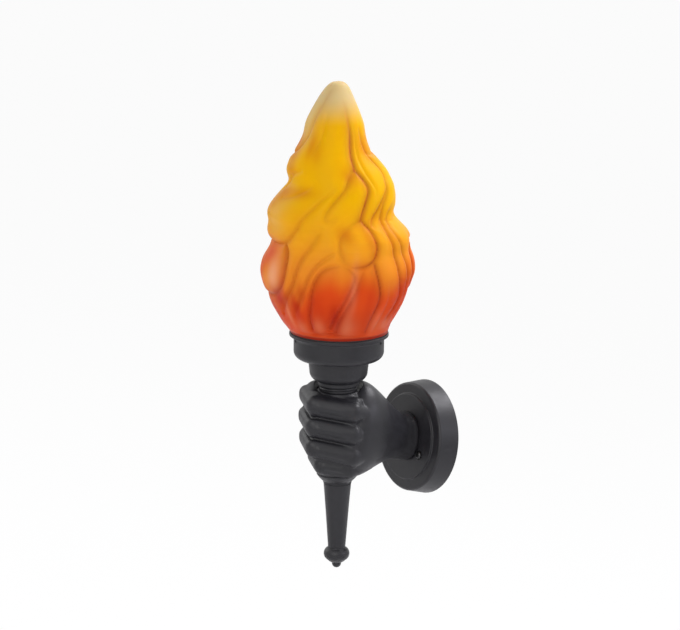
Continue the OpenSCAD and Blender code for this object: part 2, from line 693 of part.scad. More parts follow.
// Route of a main lead on side s: block, nipple, wrist, tube and lampholder
function main_route(s) = let (pole = block_w / 3, d = 2 * strap_t + block_h / 2) [
    strap_point(block_x - block_len * 0.6, -s * pole, d),
    strap_point(block_x - 1, -s * pole, d),
    strap_point(block_x + 3, -s * pole, d),
    strap_point(-1, -s * 3.2, d + 0.6),
    [s * lead_offset, -(plate_inner - nipple_behind) + 1.5, -s * 0.6],
    [s * lead_offset, -(plate_inner - nipple_behind) - 4, 0],
    [s * lead_offset, -arm_reach + 20, 0],
    [s * lead_offset, -arm_reach + 4.2, 0],
    torch_point(s * lead_offset, 0, 0.4),
    torch_point(s * lead_offset, 0, 5),
    torch_point(s * lead_offset, 0, tube_top - 3),
    torch_point(s * lead_offset, 0, tube_top + 1),
    torch_point(s * lead_spread, 0, tube_top + 5),
    torch_point(s * lead_spread, 0, body_h0 + 2)];

module lead_live() {
    color([0.45, 0.25, 0.12]) lead(main_route(1), [0, 0, 1]);
}

module lead_neutral() {
    color([0.15, 0.3, 0.75]) lead(main_route(-1), [0, 0, 1]);
}

module lead_earth() {
    d = 2 * strap_t + block_h / 2;
    color([0.35, 0.6, 0.2]) lead([
        strap_point(block_x - block_len * 0.6, 0, d),
        strap_point(block_x - 1, 0, d),
        strap_point(block_x + 2.5, 0, d - 0.5),
        strap_point(-3, 0, d - 1.6),
        strap_point(earth_x - 9, 0, d - 1.6),
        strap_point(earth_x - 4.1, 0, d - 2.6)], [0, 1, 0]);
}

// ---- Glass neck: the plain collar that stands inside the gallery
module glass_neck() {
    color([0.93, 0.55, 0.12]) on_torch() translate([0, 0, seat_h - fitter_depth]) difference() {
        cylinder(r = fitter_r, h = fitter_depth);
        translate([0, 0, -1]) cylinder(r = fitter_r - glass_wall, h = fitter_depth + 2);
    }
}

// ---- Flame glass
// Valleys between the tongues of flame: how deep each one is, and the line it follows as
// [angle, percent of the height]. The angle is counted from straight out, and each valley
// shows twice, half a turn apart.
VALLEYS = [
    [1.0, [[80, 90], [80, 83], [78, 76], [78, 72], [76, 67]]],
    [1.0, [[112, 82], [117, 73], [124, 69], [127, 65], [121, 61], [110, 56], [102, 50], [95, 46]]],
    [0.6, [[96, 85], [96, 73], [94, 68], [96, 63], [98, 57]]],
    [0.9, [[76, 67], [66, 64], [59, 60], [53, 55], [50, 51], [53, 48], [60, 49]]],
    [1.0, [[76, 67], [84, 64], [88, 61], [87, 56], [86, 51], [83, 48]]],
    [1.0, [[83, 48], [72, 47], [63, 45], [57, 42], [56, 38], [59, 34], [64, 32], [71, 31]]],
    [1.0, [[83, 48], [90, 46], [90, 42], [88, 37], [86, 33], [78, 31], [71, 31]]],
    [1.0, [[51, 60], [41, 56], [35, 51], [29, 47], [19, 43], [6, 38], [-14, 37], [-40, 38]]],
    [1.0, [[6, 38], [10, 34], [12, 30], [12, 25], [6, 20], [-6, 17], [-34, 16], [-44, 20], [-46, 28],
        [-42, 35], [-40, 38]]],
    [0.9, [[48, 45], [41, 42], [32, 38], [26, 34], [23, 28], [21, 23], [12, 17], [0, 10]]],
    [0.9, [[55, 37], [47, 35], [40, 32], [35, 28], [31, 21], [23, 15], [15, 10]]],
    [1.0, [[57, 32], [47, 31], [41, 28], [37, 22], [35, 16], [30, 10], [30, 6]]],
    [1.0, [[57, 32], [62, 30], [64, 27], [63, 23], [61, 17], [56, 12], [51, 7]]],
    [1.0, [[71, 31], [67, 26], [65, 20], [61, 15], [56, 9], [56, 5]]],
    [1.0, [[86, 32], [89, 27], [94, 21], [95, 16], [92, 11], [90, 4]]],
    [1.0, [[121, 61], [117, 57], [111, 53], [110, 47], [106, 42], [106, 36], [109, 31], [111, 26],
        [118, 19], [118, 14], [113, 9]]],
    [1.0, [[124, 50], [118, 46], [115, 42], [118, 36], [122, 31], [123, 26], [126, 20], [131, 15],
        [124, 9]]],
    [0.6, [[38, 88], [37, 84], [34, 79], [29, 75], [23, 72]]],
    [0.5, [[27, 62], [17, 59], [5, 56], [-10, 55]]],
    [0.8, [[10, 66], [-10, 64], [-25, 60], [-36, 57]]],
    [0.9, [[24, 96], [8, 87], [3, 81], [-5, 77], [-15, 73], [-36, 71], [-60, 72]]],
    [0.5, [[-73, 48], [-55, 46], [-36, 47]]]];
// Share of the belly's radius against the share of the height
PROFILE = [[0, 0.652], [0.01, 0.662], [0.025, 0.69], [0.053, 0.75], [0.11, 0.86], [0.18, 0.965],
    [0.25, 1.03], [0.297, 1.007], [0.346, 0.925], [0.405, 0.947], [0.454, 0.846], [0.513, 0.825],
    [0.56, 0.772], [0.61, 0.68], [0.65, 0.668], [0.7, 0.574], [0.757, 0.447], [0.796, 0.403],
    [0.835, 0.387], [0.874, 0.333], [0.926, 0.25], [0.963, 0.182], [0.984, 0.14], [0.996, 0.09], [1, 0]];
// Sideways shift of the flame's middle against the share of the height
SWAY = [[0, 2], [0.21, 2.8], [0.307, 1], [0.376, -1], [0.425, 3.8], [0.483, 10.8], [0.552, 3.6],
    [0.6, -1.2], [0.65, 4], [0.718, 8.4], [0.796, 6.6], [0.865, 6.4], [0.947, 5], [1, 3.2]];
sway_dir = -36;

// A table's value with its corners rounded over a share of the height
function eased(t, table, reach = 0.022) = let (w = min(reach, t, 1 - t) / 3)
    (lookup(t - 3 * w, table) + 2 * lookup(t - 2 * w, table) + 3 * lookup(t - w, table)
    + 3 * lookup(t, table) + 3 * lookup(t + w, table) + 2 * lookup(t + 2 * w, table)
    + lookup(t + 3 * w, table)) / 15;

// Distance in mm from a point on the flame to a stretch of a valley
function wrapped(a) = a - 180 * floor((a + 90) / 180);
function stretch_gap(a, t, p, q, r) =
    let (k = r * PI / 180, u = wrapped(p[0] - a) * k, v = (p[1] / 100 - t) * flame_h,
        du = (q[0] - p[0]) * k, dv = (q[1] - p[1]) / 100 * flame_h,
        s = max(0, min(1, -(u * du + v * dv) / (du * du + dv * dv))))
    norm([u + s * du, v + s * dv]);
function valley_depth(a, t, r) = max([for (w = VALLEYS) w[0] * pow(max(0,
    1 - min([for (i = [0:len(w[1]) - 2]) stretch_gap(a, t, w[1][i], w[1][i + 1], r)])
        / ripple_width), 2)]);
// The two sides swell in steps, and the front and back more evenly
function flame_radius(a, t) =
    let (side = pow(cos(a - sway_dir), 2), fade = min(1, t / 0.06, (1 - t) / 0.3),
        r = flame_r * (side * eased(t, PROFILE) + (1 - side) * eased(t, PROFILE, 0.1)))
    r - ripple * fade * valley_depth(a, t, r);
function flame_ring(t, r_list, n) =
    let (s = sway * eased(t, SWAY) * min(1, t / 0.04), h = seat_h + t * flame_h)
    [for (i = [0:n - 1]) let (a = 360 * i / n, r = r_list[i])
        [r * sin(a) + s * sin(sway_dir), -r * cos(a) - s * cos(sway_dir), h]];

module flame_glass() {
    n = 76;
    rows = 48;
    m = n / 2;
    in_rows = 18;
    // Outer radii, ring by ring, closer together toward the tip
    ts = [for (j = [0:rows - 1]) 1 - pow(1 - j / rows, 1.3)];
    radii = [for (j = [0:rows - 1]) j == 0 ? [for (i = [0:n - 1]) seat_r]
        : [for (i = [0:n - 1]) flame_radius(360 * i / n, ts[j])]];
    outer = [for (j = [0:rows - 1]) each flame_ring(ts[j], radii[j], n)];
    // Inner radii keep the glass wall inside the smallest outer radius near by
    in_js = [for (j = [1:in_rows]) round(1 + (rows - 7) * j / in_rows)];
    inner_r = [for (j = in_js) [for (i = [0:m - 1])
        min([for (dj = [-2:2]) for (di = [-2:2])
            radii[min(rows - 1, max(1, j + dj))][(2 * i + di + n) % n]]) - glass_wall]];
    inner = concat(
        [for (h = [0, 1]) each [for (i = [0:m - 1])
            let (a = 360 * i / m, r = fitter_r - glass_wall)
            [r * sin(a), -r * cos(a), seat_h + h]]],
        [for (k = [0:in_rows - 1]) each flame_ring(ts[in_js[k]], inner_r[k], m)]);
    tip_shift = sway * lookup(1, SWAY);
    tip = [tip_shift * sin(sway_dir), -tip_shift * cos(sway_dir), seat_h + flame_h];
    in_top = ts[in_js[in_rows - 1]];
    in_shift = sway * lookup(in_top, SWAY);
    in_tip = [in_shift * sin(sway_dir), -in_shift * cos(sway_dir), seat_h + in_top * flame_h + 3];
    o_n = len(outer);
    i_n = len(inner);
    i_rings = in_rows + 2;
    faces = concat(
        [for (j = [0:rows - 2]) each [for (i = [0:n - 1]) each
            let (a = j * n + i, b = j * n + (i + 1) % n, c = a + n, d = b + n)
            norm(outer[a] - outer[d]) < norm(outer[b] - outer[c])
                ? [[a, c, d], [a, d, b]] : [[a, c, b], [b, c, d]]]],
        [for (i = [0:n - 1]) [(rows - 1) * n + i, o_n, (rows - 1) * n + (i + 1) % n]],
        [for (j = [0:i_rings - 2]) each [for (i = [0:m - 1]) each
            let (s = o_n + 1, a = s + j * m + i, b = s + j * m + (i + 1) % m, c = a + m, d = b + m)
            [[a, d, c], [a, b, d]]]],
        [for (i = [0:m - 1]) let (s = o_n + 1 + (i_rings - 1) * m)
            [s + i, s + (i + 1) % m, o_n + 1 + i_n]],
        [for (i = [0:m - 1]) each let (a = 2 * i, b = 2 * i + 1, c = (2 * i + 2) % n,
            p = o_n + 1 + i, q = o_n + 1 + (i + 1) % m)
            [[a, b, p], [b, q, p], [b, c, q]]]);
    color([0.93, 0.55, 0.12]) on_torch()
        polyhedron(points = concat(outer, [tip], inner, [in_tip]), faces = faces, convexity = 6);
}

wall_plate();
wall_strap();
turn_strap();
strap_rivet();
plate_screws();
arm_nipple();
arm_washer();
arm_nut();
hand();
torch_tube();
torch_handle();
finial();
neck_spool();
lower_cup();
gallery();
gasket_ring();
tube_washer();
tube_nut();
holder_cap();
holder_body();
holder_shell();
holder_contact();
terminal_block();
terminal_screws();
earth_screw();
lead_live();
lead_neutral();
lead_earth();
gallery_screw(0);  // gallery_screw_1
gallery_screw(1);  // gallery_screw_2
gallery_screw(2);  // gallery_screw_3
glass_neck();
flame_glass();
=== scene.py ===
"""Wall torch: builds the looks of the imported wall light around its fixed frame."""
import json
import math

import bmesh
import bpy
import numpy as np
from mathutils import Euler, Matrix, Vector


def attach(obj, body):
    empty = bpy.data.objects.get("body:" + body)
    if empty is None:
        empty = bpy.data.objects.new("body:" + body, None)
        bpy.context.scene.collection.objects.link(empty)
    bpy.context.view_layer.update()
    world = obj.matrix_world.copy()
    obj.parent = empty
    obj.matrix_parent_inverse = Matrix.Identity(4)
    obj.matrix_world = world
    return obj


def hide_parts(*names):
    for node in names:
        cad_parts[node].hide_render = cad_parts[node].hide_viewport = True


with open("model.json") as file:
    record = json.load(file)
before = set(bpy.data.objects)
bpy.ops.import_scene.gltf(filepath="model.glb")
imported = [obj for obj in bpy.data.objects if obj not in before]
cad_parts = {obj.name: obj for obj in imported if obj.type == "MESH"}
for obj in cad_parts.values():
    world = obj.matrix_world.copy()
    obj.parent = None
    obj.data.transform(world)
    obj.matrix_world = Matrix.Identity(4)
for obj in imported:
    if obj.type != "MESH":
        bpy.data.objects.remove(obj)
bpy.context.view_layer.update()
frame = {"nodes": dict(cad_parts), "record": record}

bl_info = {
    "name": "Wall torch",
    "version": (1, 0, 0),
    "blender": (4, 5, 0),
    "location": "View3D > Sidebar > Wall torch",
    "description": "Flame glass, clenched hand and finishes of a wall torch light",
    "category": "Add Mesh",
}

MM = 0.001
REACH = 109.0  # from the wall to the torch's axis
LEAN = math.radians(7.0)  # lean of the torch away from the wall
SEAT_H = 111.8  # height of the flame's foot on the torch's axis
SWAY_DIR = -36.0  # way of the flame's sideways shift, in degrees from straight out toward +x
TORCH = Matrix.Translation((0, -REACH * MM, 0)) @ Matrix.Rotation(LEAN, 4, "X")
TORCH_BACK = TORCH.inverted()


def on_torch(x, y, h):
    """A point of the torch's own axes, in mm, in the part's frame in metres."""
    return TORCH @ Vector((x * MM, y * MM, h * MM))


def from_torch(co):
    """A point of the part's frame, in metres, on the torch's own axes in mm."""
    return TORCH_BACK @ co / MM


# ---------------------------------------------------------------- settings


def length(name, description, default, low, high):
    """A length in metres among the settings."""
    return bpy.props.FloatProperty(name=name, description=description, default=default, min=low,
                                   max=high, unit="LENGTH")


def colour(name, description, default):
    """A colour among the settings."""
    return bpy.props.FloatVectorProperty(name=name, description=description, subtype="COLOR", size=3,
                                         default=default, min=0, max=1)


class TorchFlameSettings(bpy.types.PropertyGroup):
    height: length("Height", "Height of the flame above its seat", 0.2509, 0.2, 0.28)
    belly: length("Belly radius", "Radius of the flame at its belly", 0.0754, 0.068, 0.085)
    ripple: length("Ripple", "Depth of the valleys between the tongues", 0.004, 0.001, 0.006)
    wall: length("Wall", "Thickness of the glass", 0.003, 0.0025, 0.004)
    yellow: colour("Yellow", "Colour of the upper tongues", (0.83, 0.435, 0.0))
    orange: colour("Orange", "Colour of the middle tongues", (0.84, 0.285, 0.02))
    red: colour("Red", "Colour of the lower tongues", (0.67, 0.066, 0.006))
    deep: colour("Deep red", "Colour between the lower tongues", (0.47, 0.017, 0.0))
    # Amber is partly orange smudges of the sprayed paint and partly painted shade on the flame's sides
    amber_and_shade: colour("Amber", "Colour of the smudges on the yellow", (0.66, 0.20, 0.004))
    # Blush is partly paler paint where the red thins out and partly a painted highlight on the left red
    # tongue
    blush_and_highlight: colour("Blush", "Colour where the red thins out", (0.82, 0.36, 0.19))
    clear: colour("Clear", "Colour of the uncoloured tip", (0.62, 0.49, 0.25))


class TorchHandSettings(bpy.types.PropertyGroup):
    finger: length("Finger radius", "Radius of the first three fingers", 0.0116, 0.0108, 0.0124)
    little: length("Little finger radius", "Radius of the little finger", 0.0094, 0.0088, 0.0105)
    grid: length("Skin grid", "Spacing of the hand's surface points", 0.0009, 0.0006, 0.003)
    coat: colour("Coat", "Colour of the black coat", (0.0105, 0.0102, 0.0125))


class TorchStageSettings(bpy.types.PropertyGroup):
    lens: bpy.props.FloatProperty(name="Lens", description="Focal length of the camera in mm",
                                  default=123.5546, min=20, max=300)
    floor: length("Floor", "Height of the floor, from the plate's centre", -0.42, -2, -0.2)
    paper: colour("Paper", "Colour of the floor", (0.9, 0.9, 0.9))


# ---------------------------------------------------------------- shaders

FINISHES = {}  # material of each slot
GRAIN_GROUP = "Surface grain"
# Noises of the grain group: output, the input that scales it, that input's default, and detail
NOISES = (
    ("Grain", "Grain size", 1500.0, 3.0),
    ("Patches", "Patch size", 25.0, 2.0),
    ("Smudges", "Smudge size", 90.0, 5.0),
)
NOISE_RANGE = (0.3, 0.7)  # part of a noise's values that the finishes spread out


def fresh_material(name):
    """A new material, its node tree and its Principled shader, joined to the output."""
    mat = bpy.data.materials.new(name)
    mat.use_nodes = True
    tree = mat.node_tree
    tree.nodes.clear()
    out = tree.nodes.new("ShaderNodeOutputMaterial")
    skin = tree.nodes.new("ShaderNodeBsdfPrincipled")
    tree.links.new(skin.outputs["BSDF"], out.inputs["Surface"])
    return mat, tree, skin


def add(tree, kind, **values):
    """Adds a node; each value goes to the input of its name, or else to the property."""
    node = tree.nodes.new(kind)
    for key, value in values.items():
        if key in node.inputs.keys():
            node.inputs[key].default_value = value
        else:
            setattr(node, key, value)
    return node


def ramp(tree, stops, source):
    """Colours along a mask, from stops of (place, colour)."""
    node = tree.nodes.new("ShaderNodeValToRGB")
    e = node.color_ramp.elements
    while len(e) > 1:
        e.remove(e[-1])
    for i, (at, paint) in enumerate(stops):
        stop = e[0] if i == 0 else e.new(at)
        stop.position = at
        stop.color = (*paint, 1)
    tree.links.new(source, node.inputs["Fac"])
    return node.outputs["Color"]


def mix_colour(tree, kind, fac, a, b):
    """Mixes colours a and b, each a socket or a colour, by a socket or number."""
    node = tree.nodes.new("ShaderNodeMix")
    node.data_type = "RGBA"
    node.blend_type = kind
    for socket, value in ((node.inputs[0], fac), (node.inputs[6], a), (node.inputs[7], b)):
        if isinstance(value, bpy.types.NodeSocket):
            tree.links.new(value, socket)
        elif isinstance(value, (int, float)):
            socket.default_value = value
        else:
            socket.default_value = (*value, 1)
    return node.outputs[2]


def grain_group():
    """Fine grain and broad patches on the object's own coordinates, shared by the finishes."""
    if GRAIN_GROUP in bpy.data.node_groups:
        return bpy.data.node_groups[GRAIN_GROUP]
    g = bpy.data.node_groups.new(GRAIN_GROUP, "ShaderNodeTree")
    for _, size, value, _ in NOISES:
        s = g.interface.new_socket(name=size, in_out="INPUT", socket_type="NodeSocketFloat")
        s.default_value = value
    for out, _, _, _ in NOISES:
        g.interface.new_socket(name=out, in_out="OUTPUT", socket_type="NodeSocketFloat")
    gi = g.nodes.new("NodeGroupInput")
    go = g.nodes.new("NodeGroupOutput")
    at = g.nodes.new("ShaderNodeTexCoord")
    for out, size, _, detail in NOISES:
        n = add(g, "ShaderNodeTexNoise", Detail=detail)
        g.links.new(at.outputs["Object"], n.inputs["Vector"])
        g.links.new(gi.outputs[size], n.inputs["Scale"])
        g.links.new(n.outputs["Fac"], go.inputs[out])
    return g


def grain(tree, *sizes):
    """Places the grain group with the scales of its grain, patches and smudges."""
    node = tree.nodes.new("ShaderNodeGroup")
    node.node_tree = grain_group()
    for (_, name, _, _), size in zip(NOISES, sizes):
        node.inputs[name].default_value = size
    return node


def span(tree, source, low, high):
    """Spreads the middle of a noise's values over low..high."""
    node = add(tree, "ShaderNodeMapRange")
    for name, value in zip(("From Min", "From Max", "To Min", "To Max"), (*NOISE_RANGE, low, high)):
        node.inputs[name].default_value = value
    tree.links.new(source, node.inputs["Value"])
    return node.outputs["Result"]


def raise_skin(tree, skin, source, strength, distance):
    """Gives the skin a fine relief from a mask."""
    node = add(tree, "ShaderNodeBump", Strength=strength, Distance=distance)
    tree.links.new(source, node.inputs["Height"])
    tree.links.new(node.outputs["Normal"], skin.inputs["Normal"])


def black_coat():
    """Fine-textured satin black coat over cast metal."""
    black = bpy.context.scene.torch_hand.coat
    lighter, dusty = (tuple(min(1, c * k) for c in black) for k in (1.55, 2.0))
    mat, tree, skin = fresh_material("black_coat")
    g = grain(tree, 1400.0, 22.0, 110.0)
    base = mix_colour(tree, "MIX", span(tree, g.outputs["Patches"], 0.0, 0.55), black, lighter)
    dust = mix_colour(tree, "MIX", span(tree, g.outputs["Smudges"], 0.0, 0.35), base, dusty)
    tree.links.new(dust, skin.inputs["Base Color"])
    tree.links.new(span(tree, g.outputs["Smudges"], 0.38, 0.48), skin.inputs["Roughness"])
    skin.inputs["Specular IOR Level"].default_value = 0.38
    raise_skin(tree, skin, g.outputs["Grain"], 0.16, 0.0002)
    return mat


def metal(name, clean, worn, rough):
    """Plain metal with fine tool marks and slightly dull patches."""
    mat, tree, skin = fresh_material(name)
    g = grain(tree, 900.0, 60.0, 250.0)
    base = mix_colour(tree, "MIX", span(tree, g.outputs["Smudges"], 0.0, 0.7), clean, worn)
    tree.links.new(base, skin.inputs["Base Color"])
    tree.links.new(span(tree, g.outputs["Patches"], rough - 0.06, rough + 0.1), skin.inputs["Roughness"])
    skin.inputs["Metallic"].default_value = 1.0
    raise_skin(tree, skin, g.outputs["Grain"], 0.12, 0.00012)
    return mat


def plain(name, clean, shade, rough, coat=0.0):
    """Moulded plastic, rubber, glazed ceramic or lead sleeve."""
    mat, tree, skin = fresh_material(name)
    g = grain(tree, 700.0, 45.0, 160.0)
    base = mix_colour(tree, "MIX", span(tree, g.outputs["Patches"], 0.0, 0.8), clean, shade)
    tree.links.new(base, skin.inputs["Base Color"])
    tree.links.new(span(tree, g.outputs["Smudges"], rough - 0.05, rough + 0.07), skin.inputs["Roughness"])
    skin.inputs["Coat Weight"].default_value = coat
    skin.inputs["Coat Roughness"].default_value = 0.08
    raise_skin(tree, skin, g.outputs["Grain"], 0.1, 0.0001)
    return mat


def painted_glass(tree, g):
    """Colour of the flame: red at the foot through orange and yellow to the clear tip, with painted shade
    and a painted highlight laid in.
    """
    f = bpy.context.scene.torch_flame
    mask = {name: add(tree, "ShaderNodeAttribute", attribute_name=name).outputs["Fac"] for name in MASKS}
    middle = tuple(a * 0.45 + b * 0.55 for a, b in zip(f.orange, f.yellow))
    body = ramp(tree, [(0.0, f.orange), (0.30, f.orange), (0.42, middle), (0.56, f.yellow),
                       (1.0, f.yellow)], mask["rise"])
    for name, paint in (("amber_and_shade", f.amber_and_shade), ("ember", f.red), ("deep", f.deep), ("blush_and_highlight", f.blush_and_highlight),
                        ("clear", f.clear)):
        body = mix_colour(tree, "MIX", mask[name], body, paint)
    # Line colour over the creases, part paint and part painted shade, and painted shade under the lower
    # tongues and toward the foot
    body = mix_colour(tree, "MIX", mask["valley"], body, ramp(tree, LINE_COLOURS, mask["rise"]))
    cloud = span(tree, g.outputs["Patches"], 0.0, 0.14)
    return mix_colour(tree, "MULTIPLY", cloud, body, (0.88, 0.76, 0.6))


def flame_glass_material(painted=True):
    """Satin glass: painted for the flame, or in one orange tone for the neck."""
    mat, tree, skin = fresh_material("flame_glass" if painted else "flame_glass_neck")
    g = grain(tree, 800.0, 30.0, 120.0)
    if painted:
        base = painted_glass(tree, g)
    else:
        base = mix_colour(tree, "MIX", span(tree, g.outputs["Patches"], 0.0, 0.6), (0.62, 0.30, 0.14),
                          (0.70, 0.42, 0.24))
    tree.links.new(base, skin.inputs["Base Color"])
    tree.links.new(span(tree, g.outputs["Smudges"], 0.36, 0.46), skin.inputs["Roughness"])
    skin.inputs["Subsurface Weight"].default_value = 0.2
    skin.inputs["Subsurface Radius"].default_value = (1.0, 0.4, 0.1)
    skin.inputs["Subsurface Scale"].default_value = 0.004
    skin.inputs["Specular IOR Level"].default_value = 0.06
    raise_skin(tree, skin, g.outputs["Grain"], 0.06, 0.0002)
    return mat


# ---------------------------------------------------------------- flame glass

# Valleys between the tongues of flame: how strongly each is tinted, which side laps over the other
# (1 left and -1 right of the way the points go, 0 neither), and the line it follows as (angle,
# percent of the height, depth). The angle is counted from straight out toward +x, and each valley
# shows twice, half a turn apart.
VALLEYS = [
    (1, -1, [(84, 92, 0.15), (88, 86, 0.5), (89, 80, 0.9), (87, 76, 1), (86, 72, 1), (83, 67, 1)]),
    (0.3, 0, [(92, 88, 0.1), (97, 82, 0.4), (97, 77, 0.45), (96, 72, 0.4), (92, 68, 0.1)]),
    (0.7, -1, [(112, 82, 0.3), (117, 73, 0.8), (124, 69, 1), (127, 65, 1), (121, 61, 1), (110, 56, 1),
            (102, 50, 1), (95, 46, 0.7)]),
    (0.3, 0, [(96, 85, 0.2), (96, 73, 0.6), (94, 68, 0.6), (96, 63, 0.6), (98, 57, 0.2)]),
    (0.5, 1, [(83, 67, 1), (70, 64.5, 0.9), (60, 60, 0.8), (53, 55, 0.7), (50, 51, 0.5), (53, 48, 0.3),
            (60, 49, 0.2)]),
    (0.95, -1, [(83, 67, 1), (88, 64, 1), (89, 61, 1), (88, 56, 1), (87, 51, 1), (87, 48.3, 0.9)]),
    (0.3, 1, [(87, 48.3, 0.9), (79, 47.3, 0.8), (68, 45, 0.8), (59, 42, 0.8), (56, 38, 0.8), (59, 34, 0.7),
            (64, 32, 0.6), (71, 31, 0.5)]),
    (0.9, -1, [(87, 48.3, 0.9), (91, 45, 1), (91, 42, 1), (89, 37, 1), (86, 33, 0.9), (78, 31, 0.6),
            (71, 31, 0.5)]),
    (0.35, -1, [(51, 60, 0.2), (41, 56, 0.5), (35, 51, 0.65), (29, 47, 0.8), (19, 43, 0.9), (6, 38, 1),
            (-14, 37, 1), (-40, 38, 0.9)]),
    (0.6, -1, [(6, 38, 1), (10, 34, 1), (12, 30, 1), (12, 25, 0.9), (6, 20, 0.9), (-6, 17, 0.9),
            (-34, 16, 0.9), (-44, 20, 0.9), (-46, 28, 0.9), (-42, 35, 0.9), (-40, 38, 0.9)]),
    (0.35, -1, [(48, 45, 0.2), (41, 42, 0.7), (32, 38, 0.8), (26, 34, 0.9), (23, 28, 1), (21, 23, 1),
            (12, 17, 0.9), (0, 10, 0.5)]),
    (0.35, -1, [(55, 37, 0.2), (47, 35, 0.6), (40, 32, 0.8), (35, 28, 0.9), (31, 21, 0.9),
            (23, 15, 0.9), (15, 10, 0.5)]),
    (0.5, 1, [(57, 32, 0.3), (47, 31, 0.6), (41, 28, 0.9), (37, 22, 1), (35, 16, 1), (30, 10, 1),
            (30, 5, 0.9)]),
    (0.4, -1, [(60, 32, 0.3), (68, 30, 0.6), (71, 27, 0.8), (69, 23, 0.9), (64, 17, 1), (58, 12, 1),
            (51, 6, 1)]),
    (0.4, 1, [(77, 31, 0.3), (74, 26, 0.6), (71, 20, 0.9), (65, 14, 1), (59, 9, 1), (56, 4, 1)]),
    (0.7, -1, [(86, 32, 0.9), (89, 27, 1), (94, 21, 1), (95, 16, 1), (92, 11, 0.9), (90, 4, 0.6)]),
    (0.6, -1, [(121, 61, 1), (117, 57, 1), (111, 53, 1), (110, 47, 1), (106, 42, 1), (106, 36, 1),
            (109, 31, 1), (111, 26, 1), (118, 19, 1), (118, 14, 1), (113, 9, 0.8)]),
    (0.6, -1, [(124, 50, 0.8), (118, 46, 1), (115, 42, 1), (118, 36, 1), (122, 31, 1), (123, 26, 1),
            (126, 20, 1), (131, 15, 1), (124, 9, 0.8)]),
    (0.12, 0, [(38, 88, 0.3), (37, 84, 0.5), (34, 79, 0.6), (29, 75, 0.5), (23, 72, 0.2)]),
    (0.12, 0, [(27, 62, 0.2), (17, 59, 0.5), (5, 56, 0.5), (-10, 55, 0.4)]),
    (0.25, 0, [(10, 66, 0.4), (-10, 64, 0.8), (-25, 60, 0.8), (-36, 57, 0.8)]),
    (0.4, 1, [(24, 96, 0.5), (8, 87, 0.9), (3, 81, 0.9), (-5, 77, 0.9), (-15, 73, 0.9), (-36, 71, 0.9),
            (-60, 72, 0.8)]),
    (0.15, 0, [(-73, 48, 0.5), (-55, 46, 0.5), (-36, 47, 0.5)]),
    (0.2, 0, [(14, 2.2, 0.4), (30, 2, 0.8), (48, 3.5, 1), (58, 2.5, 1), (74, 1.6, 0.8), (92, 1.6, 0.5)]),
    (0.15, 0, [(100, 24, 0.2), (105, 16, 0.5), (102, 8, 0.5), (98, 3, 0.2)]),
]
# Width of a valley in mm: its shoulders, its sharp bottom, its soft tint and its dark line
WIDE, NEAR, SOFT, LINE = 15, 5, 6.5, 2.4
EVEN = 0.35  # how far both sides stand up where neither laps over
# Colour of the lines between the tongues, against the share of the height
# The line colour is partly paint gathered in the creases and partly painted shade of the folds
LINE_COLOURS = [(0.0, (0.26, 0.008, 0.001)), (0.25, (0.30, 0.016, 0.003)),
                (0.45, (0.46, 0.095, 0.010)), (1.0, (0.46, 0.16, 0.03))]
# Share of the belly's radius, and sideways shift in mm, against the share of the height
PROFILE = [(0, 0.652), (0.01, 0.662), (0.025, 0.69), (0.053, 0.75), (0.11, 0.86), (0.18, 0.965),
           (0.25, 1.03), (0.297, 1.007), (0.346, 0.925), (0.405, 0.947), (0.454, 0.846),
           (0.513, 0.825), (0.56, 0.772), (0.61, 0.68), (0.65, 0.668), (0.7, 0.574), (0.757, 0.447),
           (0.796, 0.403), (0.835, 0.387), (0.874, 0.333), (0.926, 0.25), (0.963, 0.182),
           (0.984, 0.14), (0.996, 0.09), (1, 0)]
SWAY = [(0, 2), (0.21, 2.8), (0.307, 1), (0.376, -1), (0.425, 3.8), (0.483, 10.8), (0.552, 3.6),
        (0.6, -1.2), (0.65, 4), (0.718, 8.4), (0.796, 6.6), (0.865, 6.4), (0.947, 5), (1, 3.2)]
MASKS = ("rise", "valley", "ember", "deep", "amber_and_shade", "blush_and_highlight", "clear")
# How high the red rises round the flame, in percent, against the angle
RED_TOP = [(-36, 20), (-10, 19), (14, 19), (26, 21), (34, 26), (42, 30), (52, 31.5), (60, 29), (66, 30),
           (76, 32), (86, 30), (94, 26), (104, 26), (118, 30), (130, 31), (144, 28)]
RED_BELOW, RED_ABOVE = 0.11, 0.045  # how far under and over that height it thins out
